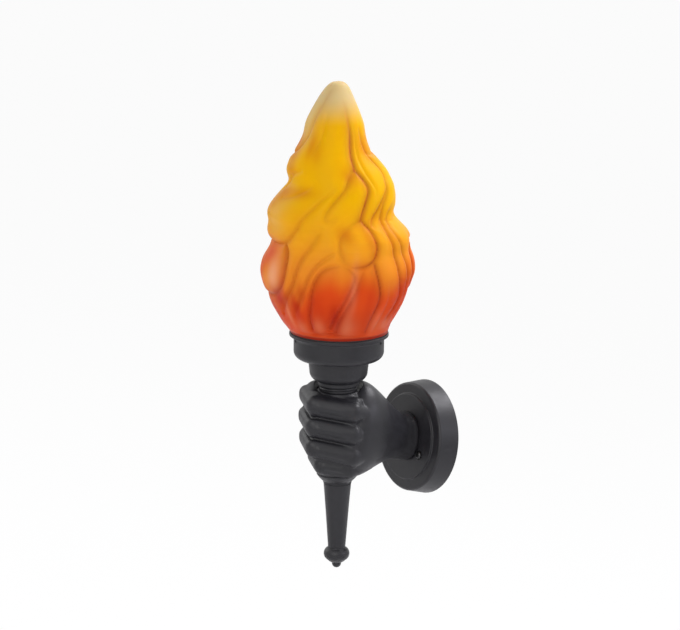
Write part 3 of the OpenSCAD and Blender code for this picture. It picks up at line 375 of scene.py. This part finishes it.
# Soft patches of colour: mask, angle, percent of the height, half width and half height in mm, strength
PATCHES = [
    ("ember", -14, 33, 22, 15, 0.9), ("ember", -24, 25, 12, 24, 0.8), ("ember", 9, 22, 6, 20, 0.5),
    ("ember", 138, 30, 10, 20, 0.7),
    ("deep", 3, 17, 14, 14, 1.0), ("deep", 20, 14, 6, 20, 0.8), ("deep", -14, 11, 8, 14, 0.6),
    ("deep", 27, 21, 5, 12, 0.5), ("deep", 55, 10, 6, 16, 0.9), ("deep", 42, 14, 9, 18, 0.45),
    ("deep", 84, 17, 5, 22, 0.35), ("deep", 118, 14, 14, 20, 0.4), ("deep", 33, 8, 4, 14, 0.5),
    # Amber patches: partly orange smudges of the sprayed paint, partly painted shade on the flame's upper
    # left and right sides
    ("amber_and_shade", 19, 76, 5, 13, 0.6), ("amber_and_shade", 33, 73, 6, 10, 0.4), ("amber_and_shade", 15, 58, 16, 6, 0.55),
    ("amber_and_shade", -12, 57, 16, 7, 0.7), ("amber_and_shade", 118, 75, 12, 14, 0.7), ("amber_and_shade", 66, 43, 8, 8, 0.7),
    ("amber_and_shade", 84, 40, 5, 18, 0.6), ("amber_and_shade", -25, 76, 10, 13, 0.95), ("amber_and_shade", -22, 53, 13, 10, 0.6),
    ("amber_and_shade", -12, 71, 9, 9, 0.6), ("amber_and_shade", -12, 66, 10, 6, 0.6),
    ("amber_and_shade", 0, 100, 9, 3, 0.9), ("amber_and_shade", 108, 44, 8, 16, 0.4), ("amber_and_shade", 72, 65, 8, 9, 0.5),
    # Painted shade under the lower tongues, in the line colour
    ("valley", 64, 9, 32, 18, 0.28),
    # Blush patches: paler paint where the red thins out; the strongest, on the left red tongue, is also a
    # painted highlight on its bulge
    ("blush_and_highlight", 0, 26, 10, 15, 0.9), ("blush_and_highlight", 70, 23, 3.5, 24, 0.35), ("blush_and_highlight", 39, 6, 6, 9, 0.3),
    ("blush_and_highlight", 66, 5.5, 10, 11, 0.3), ("blush_and_highlight", 9, 10, 3, 14, 0.35), ("blush_and_highlight", 96, 7, 6, 14, 0.25),
    ("blush_and_highlight", 20, 5, 6, 8, 0.25), ("blush_and_highlight", 66, 12, 4, 20, 0.2), ("blush_and_highlight", 112, 6, 10, 8, 0.25),
    # Clear patches on the left: partly thinner paint and partly painted sheen along the glass's
    # translucent edge
    ("clear", -9, 85, 11, 24, 0.6), ("clear", -4, 47, 15, 18, 0.2), ("clear", -32, 84, 7, 14, 0.25),
]
OUTER_STEPS, OUTER_ROWS = 288, 300  # points round and up the outside
INNER_STEPS, INNER_ROWS = 96, 44  # and the inside
INNER_FROM, INNER_LENGTH = 0.002, 0.955  # of the inside, as shares of the height
FOOT_R = 49.2  # outer edge of the flame's foot
BORE_R = 37.0  # opening of the foot, over the glass neck


def eased(t, table, reach=0.022):
    """A table's value with its corners rounded over a share of the height."""
    x, y = np.array(table, float).T
    end = np.minimum(t, 1 - t)
    w = end / (1 + (end / reach) ** 4) ** 0.25 / 3
    weights = (1, 2, 3, 3, 3, 2, 1)
    return sum(k * np.interp(t + i * w, x, y) for i, k in zip(range(-3, 4), weights)) / sum(weights)


def smooth_line(points, rounds=2):
    """A valley's line with its corners cut."""
    line = np.array(points, float)
    for _ in range(rounds):
        a, b = line[:-1], line[1:]
        cut = np.stack([a * 0.75 + b * 0.25, a * 0.25 + b * 0.75], 1).reshape(-1, line.shape[1])
        line = np.vstack([line[:1], cut, line[-1:]])
    return line


def round_way(angle, to):
    """Way round in degrees from one angle to another; the flame repeats each half turn."""
    return (to - angle + 90) % 180 - 90


def gap_to_line(angle, t, radius, points, height):
    """Distance in mm, over the surface, from points of the flame to a valley, its depth there, and
    1 on the left of the line or -1 on its right."""
    best, depth, left = np.full_like(angle, 1e9), np.zeros_like(angle), np.zeros_like(angle)
    k = radius * math.pi / 180
    line = smooth_line(points)
    for (a0, h0, s0), (a1, h1, s1) in zip(line[:-1], line[1:]):
        u = round_way(angle, a0) * k
        v = (h0 / 100 - t) * height
        du, dv = (a1 - a0) * k, (h1 - h0) / 100 * height
        s = np.clip(-(u * du + v * dv) / (du * du + dv * dv + 1e-9), 0, 1)
        gap = np.hypot(u + s * du, v + s * dv)
        nearer = gap < best
        best = np.where(nearer, gap, best)
        depth = np.where(nearer, s0 + s * (s1 - s0), depth)
        left = np.where(nearer, np.sign(dv * u - du * v), left)
    return best, depth, left


def patch(angle, t, radius, height, at, percent, half_w, half_h):
    """Soft round mask about a point of the flame."""
    u = round_way(angle, at) * radius * math.pi / 180
    v = (percent / 100 - t) * height
    return np.exp(-(u / half_w) ** 2 - (v / half_h) ** 2)


def step_between(low, high, x):
    """Smooth step from 0 at low to 1 at high."""
    s = np.clip((x - low) / (high - low), 0, 1)
    return s * s * (3 - 2 * s)


def laid_over(mask, cover):
    """A mask with another laid over it."""
    return mask + (1 - mask) * cover


def valley_relief(angle, t, base, height):
    """How far the valleys cut into the flame, as a share of the ripple, and how dark their tint is, which
    is part paint gathered in the crease and part painted shade.
    """
    relief, tint = np.zeros_like(t), np.zeros_like(t)
    for strength, lap, points in VALLEYS:
        d, depth, left = gap_to_line(angle, t, base, points, height)
        # The side that laps over stands high: a sharper edge, a shallower shoulder and more tint
        high = np.clip(0.5 + 0.5 * lap * left, 0, 1) if lap else np.full_like(d, EVEN)
        wide, near = (np.clip(1 - d / reach, 0, 1) ** 2 for reach in (WIDE, NEAR))
        relief = np.maximum(relief, depth * ((0.6 - 0.35 * high) * wide + (0.4 + 0.35 * high) * near))
        # The soft tint beside the line and the dark line itself are partly paint gathered in the crease
        # and partly painted shade of the fold
        soft = (0.2 + 0.38 * high) * np.exp(-(d / SOFT) ** 2)
        tint = np.maximum(tint, strength * depth * (0.5 * np.exp(-(d / LINE) ** 2) + soft))
    return relief, tint


def glass_masks(angle, t, base, height, tint):
    """The masks that colour the glass, painted shade and a painted highlight among them."""
    start = RED_TOP[0][0]
    red_top = np.interp((angle - start) % 180 + start, *np.array(RED_TOP, float).T) / 100
    masks = {name: np.zeros_like(t) for name in MASKS}
    masks["rise"] = t
    masks["valley"] = np.clip(tint, 0, 1) * np.clip(t / 0.02, 0, 1)
    masks["ember"] = 1 - step_between(red_top - RED_BELOW, red_top + RED_ABOVE, t)
    masks["clear"] = 0.9 * step_between(0.83, 0.95, t)
    for name, at, percent, half_w, half_h, strength in PATCHES:
        soft = strength * patch(angle, t, base, height, at, percent, half_w, half_h)
        masks[name] = laid_over(masks[name], soft)
    # Painted shade: the glass darkens toward its foot, and nearly takes the line colour in a thin band
    # where it sits on the gallery, over a little blush
    foot = 1 - step_between(0.008, 0.018, t)
    shade = 0.15 * (1 - step_between(0.03, 0.15, t))
    masks["blush_and_highlight"] = np.maximum(masks["blush_and_highlight"], 0.3 * foot)
    masks["valley"] = np.maximum(laid_over(masks["valley"], shade), 0.93 * foot)
    return masks


def flame_shape(angle, t):
    """Outer and inner radius and sideways shift in mm, and the masks that colour the glass."""
    f = bpy.context.scene.torch_flame
    height, belly, ripple = f.height / MM, f.belly / MM, f.ripple / MM
    # The bulges show in the plane of the sideways shift and are softer across it
    side = np.cos(np.radians(angle - SWAY_DIR)) ** 2
    base = belly * (side * eased(t, PROFILE) + (1 - side) * eased(t, PROFILE, 0.1))
    shift = eased(t, SWAY) * np.minimum(1, t / 0.04)
    relief, tint = valley_relief(angle, t, base, height)
    # The valleys fade out at the foot and toward the tip; the wall stays thick under them
    fade = np.minimum(1, np.minimum(t / 0.03, (1 - t) / 0.3))
    outer = base - ripple * fade * relief
    inner = np.minimum(outer, base - 0.75 * ripple) - f.wall / MM
    return outer, inner, shift, glass_masks(angle, t, base, height, tint)


def spun_tube(bm, levels, steps):
    """A tube of unit radius with a ring of points at each level."""
    verts = [bm.verts.new((1, 0, z)) for z in levels]
    edges = [bm.edges.new(pair) for pair in zip(verts[:-1], verts[1:])]
    bmesh.ops.spin(bm, geom=verts + edges, cent=(0, 0, 0), axis=(0, 0, 1), angle=2 * math.pi,
                   steps=steps, use_merge=True, use_duplicate=False)


class TORCH_OT_flame_glass(bpy.types.Operator):
    """Blown flame glass with its tongues, coloured from the foot to the tip"""

    bl_idname = "torch.flame_glass"
    bl_label = "Flame glass"

    def execute(self, context):
        height = context.scene.torch_flame.height / MM
        bm = bmesh.new()
        layers = {name: bm.verts.layers.float.new(name) for name in MASKS}
        # The rows crowd toward the tip, and the inner tube starts out 2 above the outer one
        spun_tube(bm, 1 - (1 - np.arange(OUTER_ROWS) / OUTER_ROWS) ** 1.22, OUTER_STEPS)
        inner_rows = INNER_FROM + INNER_LENGTH * (np.arange(INNER_ROWS) / (INNER_ROWS - 1))
        spun_tube(bm, inner_rows + 2, INNER_STEPS)
        co = np.array([v.co for v in bm.verts])
        inside = co[:, 2] > 1.5
        t = np.where(inside, co[:, 2] - 2, co[:, 2])
        angle = np.degrees(np.arctan2(co[:, 0], -co[:, 1]))
        outer, inner, shift, masks = flame_shape(angle, t)
        radius = np.where(inside, np.maximum(inner, 0.5), outer)
        radius = np.where(~inside & (t <= 0), FOOT_R, radius)
        bore = inside & (t < INNER_FROM + 0.001)
        radius = np.where(bore, BORE_R, radius)
        turn, sway = np.radians(angle), math.radians(SWAY_DIR)
        px = radius * np.sin(turn) + shift * math.sin(sway)
        py = -radius * np.cos(turn) - shift * math.cos(sway)
        for v, a, b, h in zip(bm.verts, px, py, SEAT_H + np.where(bore, 0, t) * height):
            v.co = on_torch(a, b, h)
        for name, layer in layers.items():
            for v, value in zip(bm.verts, masks[name]):
                v[layer] = float(value)
        # Close the foot between the walls, and then the two tips
        foot = [e for e in bm.edges if e.is_boundary and from_torch(e.verts[0].co).z < SEAT_H + 1]
        bmesh.ops.bridge_loops(bm, edges=foot)
        tip_shift = SWAY[-1][1]
        tip = on_torch(tip_shift * math.sin(sway), -tip_shift * math.cos(sway), SEAT_H + height)
        caps = bmesh.ops.holes_fill(bm, edges=[e for e in bm.edges if e.is_boundary])
        for v in bmesh.ops.poke(bm, faces=caps["faces"])["verts"]:
            v[layers["rise"]] = 1.0
            v[layers["amber_and_shade"]] = 0.8
            if from_torch(v.co).z > SEAT_H + 0.985 * height:
                v.co = tip
        bmesh.ops.recalc_face_normals(bm, faces=bm.faces)
        piece = settle(bm, "flame_shade", smooth=True)
        piece.data.materials.append(flame_glass_material())
        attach(piece, "glass")
        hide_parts("flame_glass")
        return {"FINISHED"}


def settle(bm, name, smooth=False):
    """Turns a finished bmesh into an object at the origin."""
    mesh = bpy.data.meshes.new(name)
    bm.to_mesh(mesh)
    bm.free()
    if smooth:
        mesh.shade_smooth()
    piece = bpy.data.objects.new(name, mesh)
    bpy.context.scene.collection.objects.link(piece)
    return piece


# ---------------------------------------------------------------- hand

FINGERS = [  # height on the torch's axis, knuckle's drop, how far it stands out, how much shorter
    (39.3, 6.5, 29.5, 0.0),
    (17.3, 7.7, 30.5, 0.0),
    (-4.7, 8.9, 30.0, 1.0),
    (-23.8, 5.0, 22.4, 6.0),
]
LITTLE = 3
BACK = 26.5  # from the torch's axis to the knuckles
RISE = 2.5  # how far the second joints stand above the first
# Rounded sections of the wrist and the back of the hand: distance from the wall, middle x and z,
# half width and half height
SECTIONS = [
    (24.4, 0, 1, 23.4, 24.4), (25.4, 0, 1, 24.0, 25.0), (27.6, 0, 1, 24.0, 25.0),
    (30.3, 0, 1, 23.5, 24.5), (37.1, 0, 1.5, 23.1, 24.4), (44.7, 0.5, 3.75, 23.5, 26.5),
    (52.3, 1, 6.5, 25.2, 29.3), (60.8, 1.5, 8.3, 27.5, 33.8), (68.4, 2, 10, 29.9, 38.5),
    (76.9, 2.6, 11, 32, 43.5), (84.5, 3.1, 11.5, 33.3, 48), (92.9, 3.4, 10.8, 34, 50),
    (101.4, 3.4, 9, 33.7, 48.5), (108.2, 3.1, 6, 30.6, 44), (113.2, 2, 4.5, 23.8, 36),
]
SQUARE = 0.86  # power that squares the sections a little; 1 leaves them elliptic
# The sections are averaged with those near them. This sets in at EASE_FROM mm from the wall, over
# the next EASE_OVER mm
EASE_FROM, EASE_OVER, EASE_STEPS = 31, 10, (-4, -2, 0, 2, 4)
WRIST_ROWS = 30  # rings between the fifth section and the last
# Balls of a finger's section: rise, radius and reach outward, as shares of the finger's radius
BONE_BALLS = ((0, 0.97, 0), (0.24, 0.74, 0.25), (-0.34, 0.62, 0.22))
TAPER = (0.97, 1, 0.92, 0.86)  # share of a finger's radius at its knuckle, joints and tip
# The core's ends at the neck and at the bell: low, high and radius
CORE_TOP, CORE_FOOT = (46.5, 51.0, 20.4), (-36.5, -35, 20.8)
UPPER_LOW, UPPER_R = -8, 6.4  # foot and radius of its drums at the index finger's joints
# Its drums at the little finger's joints: low, high and radius, and how far they are drawn in
LOWER_DRUM, LOWER_IN = (-24, -4, 5), 0.9
SLOPE_BALLS = [(20, -3, 40, 8), (24.5, 5, 40, 7.5)]  # on the slope down to the index finger's knuckle
THUMB_PAD = [(-9, -24.5, 43.5, 8.6), (-5, -12, 42.5, 8.6)]  # the last balls of the thumb
# Relief of the fingers' skin as (depth, half width) in mm: the groove between two fingers, the dip
# under a finger's ridge and the ridge
GROOVE, DIP, RIDGE = (1.9, 1.1), (0.8, 2.6), (0.7, 3.0)
SEAT_R = 22  # radius of the flat seats
NECK_SEAT, BELL_SEAT = 50.5, -36  # their heights, under the neck and over the bell
CUP_R, CUP_FOOT = 31.5, 60.4  # the fist stays below this height within this radius
# Nearer the axis than this radius, skin past this height is pressed to the seat as well
NECK_PRESS, BELL_PRESS = (20, 45), (20.4, -31)
RIM_R, RIM_SLOPE = 21.3, 1.5  # where the skin may rise round the neck, and how steeply
PLATE_GAP = 24.4  # the hand stays this far from the wall, clear of the plate's face


def ball(bm, x, y, h, radius):
    """Points of a ball on the torch's own axes."""
    made = bmesh.ops.create_uvsphere(bm, u_segments=32, v_segments=20, radius=radius * MM,
                                     matrix=Matrix.Translation(on_torch(x, y, h)))
    return made["verts"]


def limb(bm, start, end):
    """A tapering round limb between two balls, each (x, y, h, radius)."""
    hull(bm, ball(bm, *start) + ball(bm, *end))


def drum(bm, x, y, low, high, radius):
    """Points of an upright cylinder on the torch's own axes."""
    made = bmesh.ops.create_cone(bm, segments=48, radius1=radius * MM, radius2=radius * MM,
                                 depth=(high - low) * MM, matrix=TORCH @ Matrix.Translation(
                                     Vector((x, y, (low + high) / 2)) * MM))
    return made["verts"]


def hull(bm, verts):
    """Wraps the points in one convex skin and drops what is left inside."""
    made = bmesh.ops.convex_hull(bm, input=verts, use_existing_faces=False)
    stray = [g for g in made["geom_interior"] + made["geom_unused"] if isinstance(g, bmesh.types.BMVert)]
    bmesh.ops.delete(bm, geom=list(set(stray)), context="VERTS")


def joints(front, short):
    """Joints of a finger seen along the torch's axis: knuckle, first, second and tip."""
    return [(BACK - short, 0), (BACK * 0.22, -front), (short - BACK * 0.94, -front * 0.64),
            (short - BACK, front * 0.14)]


def bone(bm, start, end, r0, r1):
    """A stretch of a finger: a rounded section whose ridge lies above its middle."""
    verts = []
    for (x, y, h), r in ((start, r0), (end, r1)):
        out = Vector((x, y, 0)).normalized()
        for rise, size, reach in BONE_BALLS:
            verts += ball(bm, x + out.x * r * reach, y + out.y * r * reach, h + rise * r, size * r)
    hull(bm, verts)


def section_ring(bm, y, x, z, half_w, half_h):
    """A ring of edges round one section of the wrist, y from the wall."""
    made = bmesh.ops.create_circle(bm, segments=72, radius=1, cap_ends=False)
    for v in made["verts"]:
        c, s = v.co.x, v.co.y
        v.co = (x * MM + half_w * MM * math.copysign(abs(c) ** SQUARE, c), -y * MM,
                z * MM + half_h * MM * math.copysign(abs(s) ** SQUARE, s))
    return list(dict.fromkeys(e for v in made["verts"] for e in v.link_edges))


def wrist(bm):
    """Lofts the wrist and the back of the hand through their sections."""
    table = np.array(SECTIONS)
    levels = np.concatenate([table[:4, 0], np.linspace(table[4, 0], table[-1, 0], WRIST_ROWS)])
    rings = []
    for y in levels:
        reach = min(1, max(0, (y - EASE_FROM) / EASE_OVER))
        near = [np.clip(y + step * reach, *table[[0, -1], 0]) for step in EASE_STEPS]
        rings.append(section_ring(bm, y, *[np.mean([np.interp(at, table[:, 0], column) for at in near])
                                           for column in table[:, 1:].T]))
    for a, b in zip(rings[:-1], rings[1:]):
        bmesh.ops.bridge_loops(bm, edges=a + b)
    bmesh.ops.holes_fill(bm, edges=[e for e in bm.edges if e.is_boundary])


def finger_radius(i):
    """Radius in mm of finger i, counted from the index finger."""
    h = bpy.context.scene.torch_hand
    return (h.little if i == LITTLE else h.finger) / MM


def fingers(bm):
    """The four fingers, and each knuckle running out into the back of the hand."""
    for i, (at, drop, front, short) in enumerate(FINGERS):
        r = finger_radius(i)
        heights = (at - drop, at, at + RISE, at + RISE)
        line = [((x, y, h), r * share) for (x, y), h, share in zip(joints(front, short), heights, TAPER)]
        for (start, r0), (end, r1) in zip(line[:-1], line[1:]):
            bone(bm, start, end, r0, r1)
        (x, y, h), _ = line[0]
        limb(bm, (x, y, h, r * 0.96), (x * 0.98, y + 24, at * 0.9 - drop, r * 0.6))


def core(bm):
    """Core of the fist under its fingers, up to the neck and down to the bell."""
    at, drop, front, _ = FINGERS[0]
    verts = drum(bm, 0, 0, *CORE_TOP)
    for x, y in joints(front, 0):
        verts += drum(bm, x, y, UPPER_LOW, at - drop, UPPER_R)
    hull(bm, verts)
    verts = drum(bm, 0, 0, *CORE_FOOT)
    for x, y in joints(*FINGERS[LITTLE][2:]):
        verts += drum(bm, x * LOWER_IN, y, *LOWER_DRUM)
    hull(bm, verts)
    # The back of the hand slopes down to the index finger's knuckle
    verts = []
    for point in (*SLOPE_BALLS, (BACK - 1.5, 0, at - drop, 10)):
        verts += ball(bm, *point)
    hull(bm, verts)


def thumb(bm):
    """Thumb over the index finger, on the palm side, as a chain of limbs."""
    at, _, front, _ = FINGERS[0]
    x, y, h = -BACK, front * 0.1, at + 7
    chain = [(-BACK * 0.5, front * 0.9, at - 10, 13), (x, y, h, 11),
             (x + 4, y - front * 0.55, h + 0.5, 10), *THUMB_PAD]
    for start, end in zip(chain[:-1], chain[1:]):
        limb(bm, start, end)


def one_skin(context, bm):
    """Joins the rough hand's bodies in one softened skin."""
    bmesh.ops.recalc_face_normals(bm, faces=bm.faces)
    rough = settle(bm, "hand_rough")
    skin = rough.modifiers.new("Skin", "REMESH")
    skin.mode = "VOXEL"
    skin.voxel_size = context.scene.torch_hand.grid
    ease = rough.modifiers.new("Ease", "SMOOTH")
    ease.factor = 0.5
    ease.iterations = 7
    mesh = bpy.data.meshes.new_from_object(rough.evaluated_get(context.evaluated_depsgraph_get()))
    bpy.data.objects.remove(rough)
    bm = bmesh.new()
    bm.from_mesh(mesh)
    bpy.data.meshes.remove(mesh)
    return bm


def along_finger(p, front, short):
    """How far along a finger a point lies: 0 at the knuckle, 1 at the first joint, 2 at the second."""
    (x0, y0), (x1, y1), (x2, y2), _ = joints(front, short)
    dx, dy = x1 - x0, y1 - y0
    s = ((p.x - x0) * dx + (p.y - y0) * dy) / (dx * dx + dy * dy)
    if s <= 1:
        return s
    dx, dy = x2 - x1, y2 - y1
    return 1 + max(0, ((p.x - x1) * dx + (p.y - y1) * dy) / (dx * dx + dy * dy))


def dent(x, depth, half_width):
    """Depth of a rounded dent at a distance from its middle."""
    return depth * math.exp(-(x / half_width) ** 2)


def finger_sink(p, i, radius):
    """How far finger i's relief sinks the skin at a point, in mm."""
    at, drop, front, short = FINGERS[i]
    if p.y > 8 or p.x < joints(front, short)[2][0] - 14:
        return 0.0
    s = along_finger(p, front, short)
    level = p.z - (at - drop * (1 - min(max(s, 0), 1)) + RISE * max(0, s - 1))
    sink = 0.0
    if i < LITTLE:
        held = step_between(-0.15, 0.35, s) * (1 - step_between(1.7, 2.2, s))
        sink += held * dent(level + (at - FINGERS[i + 1][0]) * 0.5, *GROOVE)
    held = step_between(0.0, 0.3, s) * (1 - step_between(0.9, 1.0, s))
    return sink + held * (dent(level + radius * 0.42, *DIP) - dent(level - radius * 0.12, *RIDGE))


def carve(bm):
    """Sharpens the grooves between the fingers and dips the skin under each ridge."""
    bm.normal_update()
    radii = [finger_radius(i) for i in range(len(FINGERS))]
    moves = []
    for v in bm.verts:
        p = from_torch(v.co)
        sink = sum(finger_sink(p, i, r) for i, r in enumerate(radii))
        moves.append(v.normal * (-sink * MM))
    for v, move in zip(bm.verts, moves):
        v.co += move


def seat(bm):
    """Presses the flat seats for the neck and the bell into the skin."""
    for v in bm.verts:
        p = from_torch(v.co)
        r = math.hypot(p.x, p.y)
        if (r < SEAT_R and p.z > NECK_SEAT) or (r < NECK_PRESS[0] and p.z > NECK_PRESS[1]):
            p.z = NECK_SEAT
        elif r < CUP_R:
            p.z = min(p.z, CUP_FOOT, NECK_SEAT + RIM_SLOPE * max(0, r - RIM_R))
        if (r < SEAT_R and p.z < BELL_SEAT) or (r < BELL_PRESS[0] and p.z < BELL_PRESS[1]):
            p.z = BELL_SEAT
        v.co = TORCH @ (p * MM)
        v.co.y = min(v.co.y, -PLATE_GAP * MM)


class TORCH_OT_hand(bpy.types.Operator):
    """Clenched left hand, thumb up, that grips the torch"""

    bl_idname = "torch.hand"
    bl_label = "Hand"

    def execute(self, context):
        bm = bmesh.new()
        for body in (wrist, fingers, core, thumb):
            body(bm)
        bm = one_skin(context, bm)
        carve(bm)
        seat(bm)
        bmesh.ops.recalc_face_normals(bm, faces=bm.faces)
        piece = settle(bm, "clenched_hand", smooth=True)
        piece.data.materials.append(FINISHES["black_coat"])
        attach(piece, "torch")
        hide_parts("hand")
        return {"FINISHED"}


# ---------------------------------------------------------------- finishes of the CAD pieces

# Metals: colour, worn colour and roughness
METALS = {
    "zinc_steel": ((0.62, 0.63, 0.65), (0.45, 0.46, 0.47), 0.30),
    "brass": ((0.75, 0.55, 0.25), (0.55, 0.38, 0.17), 0.26),
    "dark_steel": ((0.05, 0.05, 0.052), (0.10, 0.10, 0.10), 0.34),
}
# Rubber, plastics, ceramic and lead sleeves: colour, second shade, roughness and any clear coat
PLAINS = {
    "black_rubber": ((0.022, 0.022, 0.022), (0.04, 0.04, 0.04), 0.62),
    "black_resin": ((0.025, 0.025, 0.026), (0.045, 0.045, 0.045), 0.36),
    "porcelain": ((0.86, 0.85, 0.81), (0.78, 0.76, 0.71), 0.22, 0.6),
    "white_plastic": ((0.80, 0.80, 0.77), (0.72, 0.72, 0.68), 0.4),
    "brown_lead": ((0.16, 0.065, 0.025), (0.22, 0.09, 0.04), 0.4),
    "blue_lead": ((0.015, 0.07, 0.38), (0.03, 0.11, 0.45), 0.4),
    "green_lead": ((0.10, 0.38, 0.05), (0.55, 0.50, 0.04), 0.4),
}


class TORCH_OT_finishes(bpy.types.Operator):
    """Finishes of the plate, bracket, torch, lampholder, screws and leads"""

    bl_idname = "torch.finishes"
    bl_label = "Finishes"

    def execute(self, context):
        FINISHES["black_coat"] = black_coat()
        FINISHES["flame_glass"] = flame_glass_material(painted=False)
        for name, look in METALS.items():
            FINISHES[name] = metal(name, *look)
        for name, look in PLAINS.items():
            FINISHES[name] = plain(name, *look)
        for part in frame["record"]["subparts"]:
            node = frame["nodes"][part["node"]]
            node.data.materials.clear()
            node.data.materials.append(FINISHES[part["material_slot"]])
        return {"FINISHED"}


# ---------------------------------------------------------------- stage

EYE = (1.909874, -1.427233, 0.478483)  # the camera's place, fitted to the photo's view
EYE_TURN = (1.4188672, -0.1128779, 0.9890833)  # and its turn, in radians
LAMP_AIM = (0, -0.1, 0.12)  # the point that the lamps shine at
LAMPS = [  # name, place, size in metres, power in watts, colour
    ("front", (1.4, -2.15, 0.9), 1.8, 22, (1, 0.99, 0.97)),
    ("left", (-2.1, -1.2, 0.9), 1.2, 7, (1, 0.99, 0.97)),
    ("right", (1.9, 1.3, 0.9), 0.8, 10, (0.86, 0.86, 1)),
    ("top", (0.15, 0.9, 1.9), 1.2, 40, (0.96, 0.95, 1)),
]
FLOOR_WHITE = 0.93  # share of plain white in what the camera sees of the floor
FLOOR_HALF = 400  # half the floor's width, in metres


def shader_blend(tree, share, first, second, out):
    """Sends a blend of two shaders to the output."""
    node = add(tree, "ShaderNodeMixShader")
    for source, socket in zip((share, first, second), node.inputs):
        tree.links.new(source, socket)
    tree.links.new(node.outputs[0], out.inputs["Surface"])


class TORCH_OT_stage(bpy.types.Operator):
    """Camera, floor, lamps and surroundings"""

    bl_idname = "torch.stage"
    bl_label = "Stage"

    def execute(self, context):
        s = context.scene.torch_stage
        scene = context.scene
        scene.view_settings.view_transform = "Standard"
        cam = bpy.data.cameras.new("view")
        cam.sensor_fit = "HORIZONTAL"
        cam.sensor_width = 36
        cam.lens = s.lens
        eye = bpy.data.objects.new("view", cam)
        eye.location = EYE
        eye.rotation_euler = Euler(EYE_TURN, "XYZ")
        scene.collection.objects.link(eye)
        scene.camera = eye
        bm = bmesh.new()
        bmesh.ops.create_grid(bm, x_segments=1, y_segments=1, size=FLOOR_HALF)
        bmesh.ops.translate(bm, verts=bm.verts, vec=(0, 0, s.floor))
        floor = settle(bm, "floor")
        floor.data.materials.append(self.paper(s.paper))
        self.surroundings(scene)
        for lamp in LAMPS:
            self.lamp(*lamp)
        return {"FINISHED"}

    def paper(self, sheet):
        """White floor: nearly white to the camera, and paper that keeps the shadow."""
        mat, tree, skin = fresh_material("paper")
        g = grain(tree, 300.0, 2.0, 9.0)
        base = mix_colour(tree, "MIX", span(tree, g.outputs["Patches"], 0.0, 0.5), sheet,
                          (0.88, 0.88, 0.88))
        tree.links.new(base, skin.inputs["Base Color"])
        skin.inputs["Roughness"].default_value = 0.9
        rays = add(tree, "ShaderNodeLightPath")
        white = add(tree, "ShaderNodeEmission", Color=(1, 1, 1, 1), Strength=1.0)
        share = add(tree, "ShaderNodeMath", operation="MULTIPLY")
        tree.links.new(rays.outputs["Is Camera Ray"], share.inputs[0])
        share.inputs[1].default_value = FLOOR_WHITE
        out = next(n for n in tree.nodes if n.type == "OUTPUT_MATERIAL")
        shader_blend(tree, share.outputs[0], skin.outputs["BSDF"], white.outputs[0], out)
        return mat

    def surroundings(self, scene):
        """Soft light all round, and plain white to the camera, in reflections and through glass."""
        world = bpy.data.worlds.new("studio")
        world.use_nodes = True
        scene.world = world
        tree = world.node_tree
        tree.nodes.clear()
        out = add(tree, "ShaderNodeOutputWorld")
        soft = add(tree, "ShaderNodeBackground", Color=(1, 1, 1, 1), Strength=0.5)
        white = add(tree, "ShaderNodeBackground", Color=(1, 1, 1, 1), Strength=1.0)
        rays = add(tree, "ShaderNodeLightPath")
        seen = add(tree, "ShaderNodeMath", operation="ADD")
        both = add(tree, "ShaderNodeMath", operation="ADD", use_clamp=True)
        tree.links.new(rays.outputs["Is Camera Ray"], seen.inputs[0])
        tree.links.new(rays.outputs["Is Glossy Ray"], seen.inputs[1])
        tree.links.new(seen.outputs[0], both.inputs[0])
        tree.links.new(rays.outputs["Is Transmission Ray"], both.inputs[1])
        shader_blend(tree, both.outputs[0], soft.outputs[0], white.outputs[0], out)

    def lamp(self, name, place, size, power, tone):
        """A square lamp that shines at the torch."""
        data = bpy.data.lights.new(name, "AREA")
        data.color = tone
        data.size = size
        data.energy = power
        lamp = bpy.data.objects.new(name, data)
        lamp.location = place
        aim = Vector(LAMP_AIM) - Vector(place)
        lamp.rotation_euler = aim.to_track_quat("-Z", "Y").to_euler()
        bpy.context.scene.collection.objects.link(lamp)


class TORCH_PT_panel(bpy.types.Panel):
    """Lists the wall torch's pieces"""

    bl_idname = "TORCH_PT_panel"
    bl_label = "Wall torch"
    bl_space_type = "VIEW_3D"
    bl_region_type = "UI"
    bl_category = "Wall torch"

    def draw(self, context):
        col = self.layout.column()
        for op in OPERATORS:
            col.operator(op.bl_idname)
        for group in SETTINGS:
            settings = getattr(context.scene, group)
            box = self.layout.box()
            for name in settings.bl_rna.properties.keys():
                if name not in ("rna_type", "name"):
                    box.prop(settings, name)


SETTINGS = {"torch_flame": TorchFlameSettings, "torch_hand": TorchHandSettings,
            "torch_stage": TorchStageSettings}
OPERATORS = [TORCH_OT_stage, TORCH_OT_finishes, TORCH_OT_flame_glass, TORCH_OT_hand]


def register():
    for cls in list(SETTINGS.values()) + OPERATORS + [TORCH_PT_panel]:
        bpy.utils.register_class(cls)
    for name, cls in SETTINGS.items():
        setattr(bpy.types.Scene, name, bpy.props.PointerProperty(type=cls))


def unregister():
    for name in SETTINGS:
        delattr(bpy.types.Scene, name)
    for cls in [TORCH_PT_panel] + OPERATORS[::-1] + list(SETTINGS.values())[::-1]:
        bpy.utils.unregister_class(cls)


def main():
    register()
    bpy.ops.torch.stage()
    bpy.ops.torch.finishes()
    bpy.ops.torch.flame_glass()
    bpy.ops.torch.hand()
    bpy.context.view_layer.update()


if __name__ == "__main__":
    main()
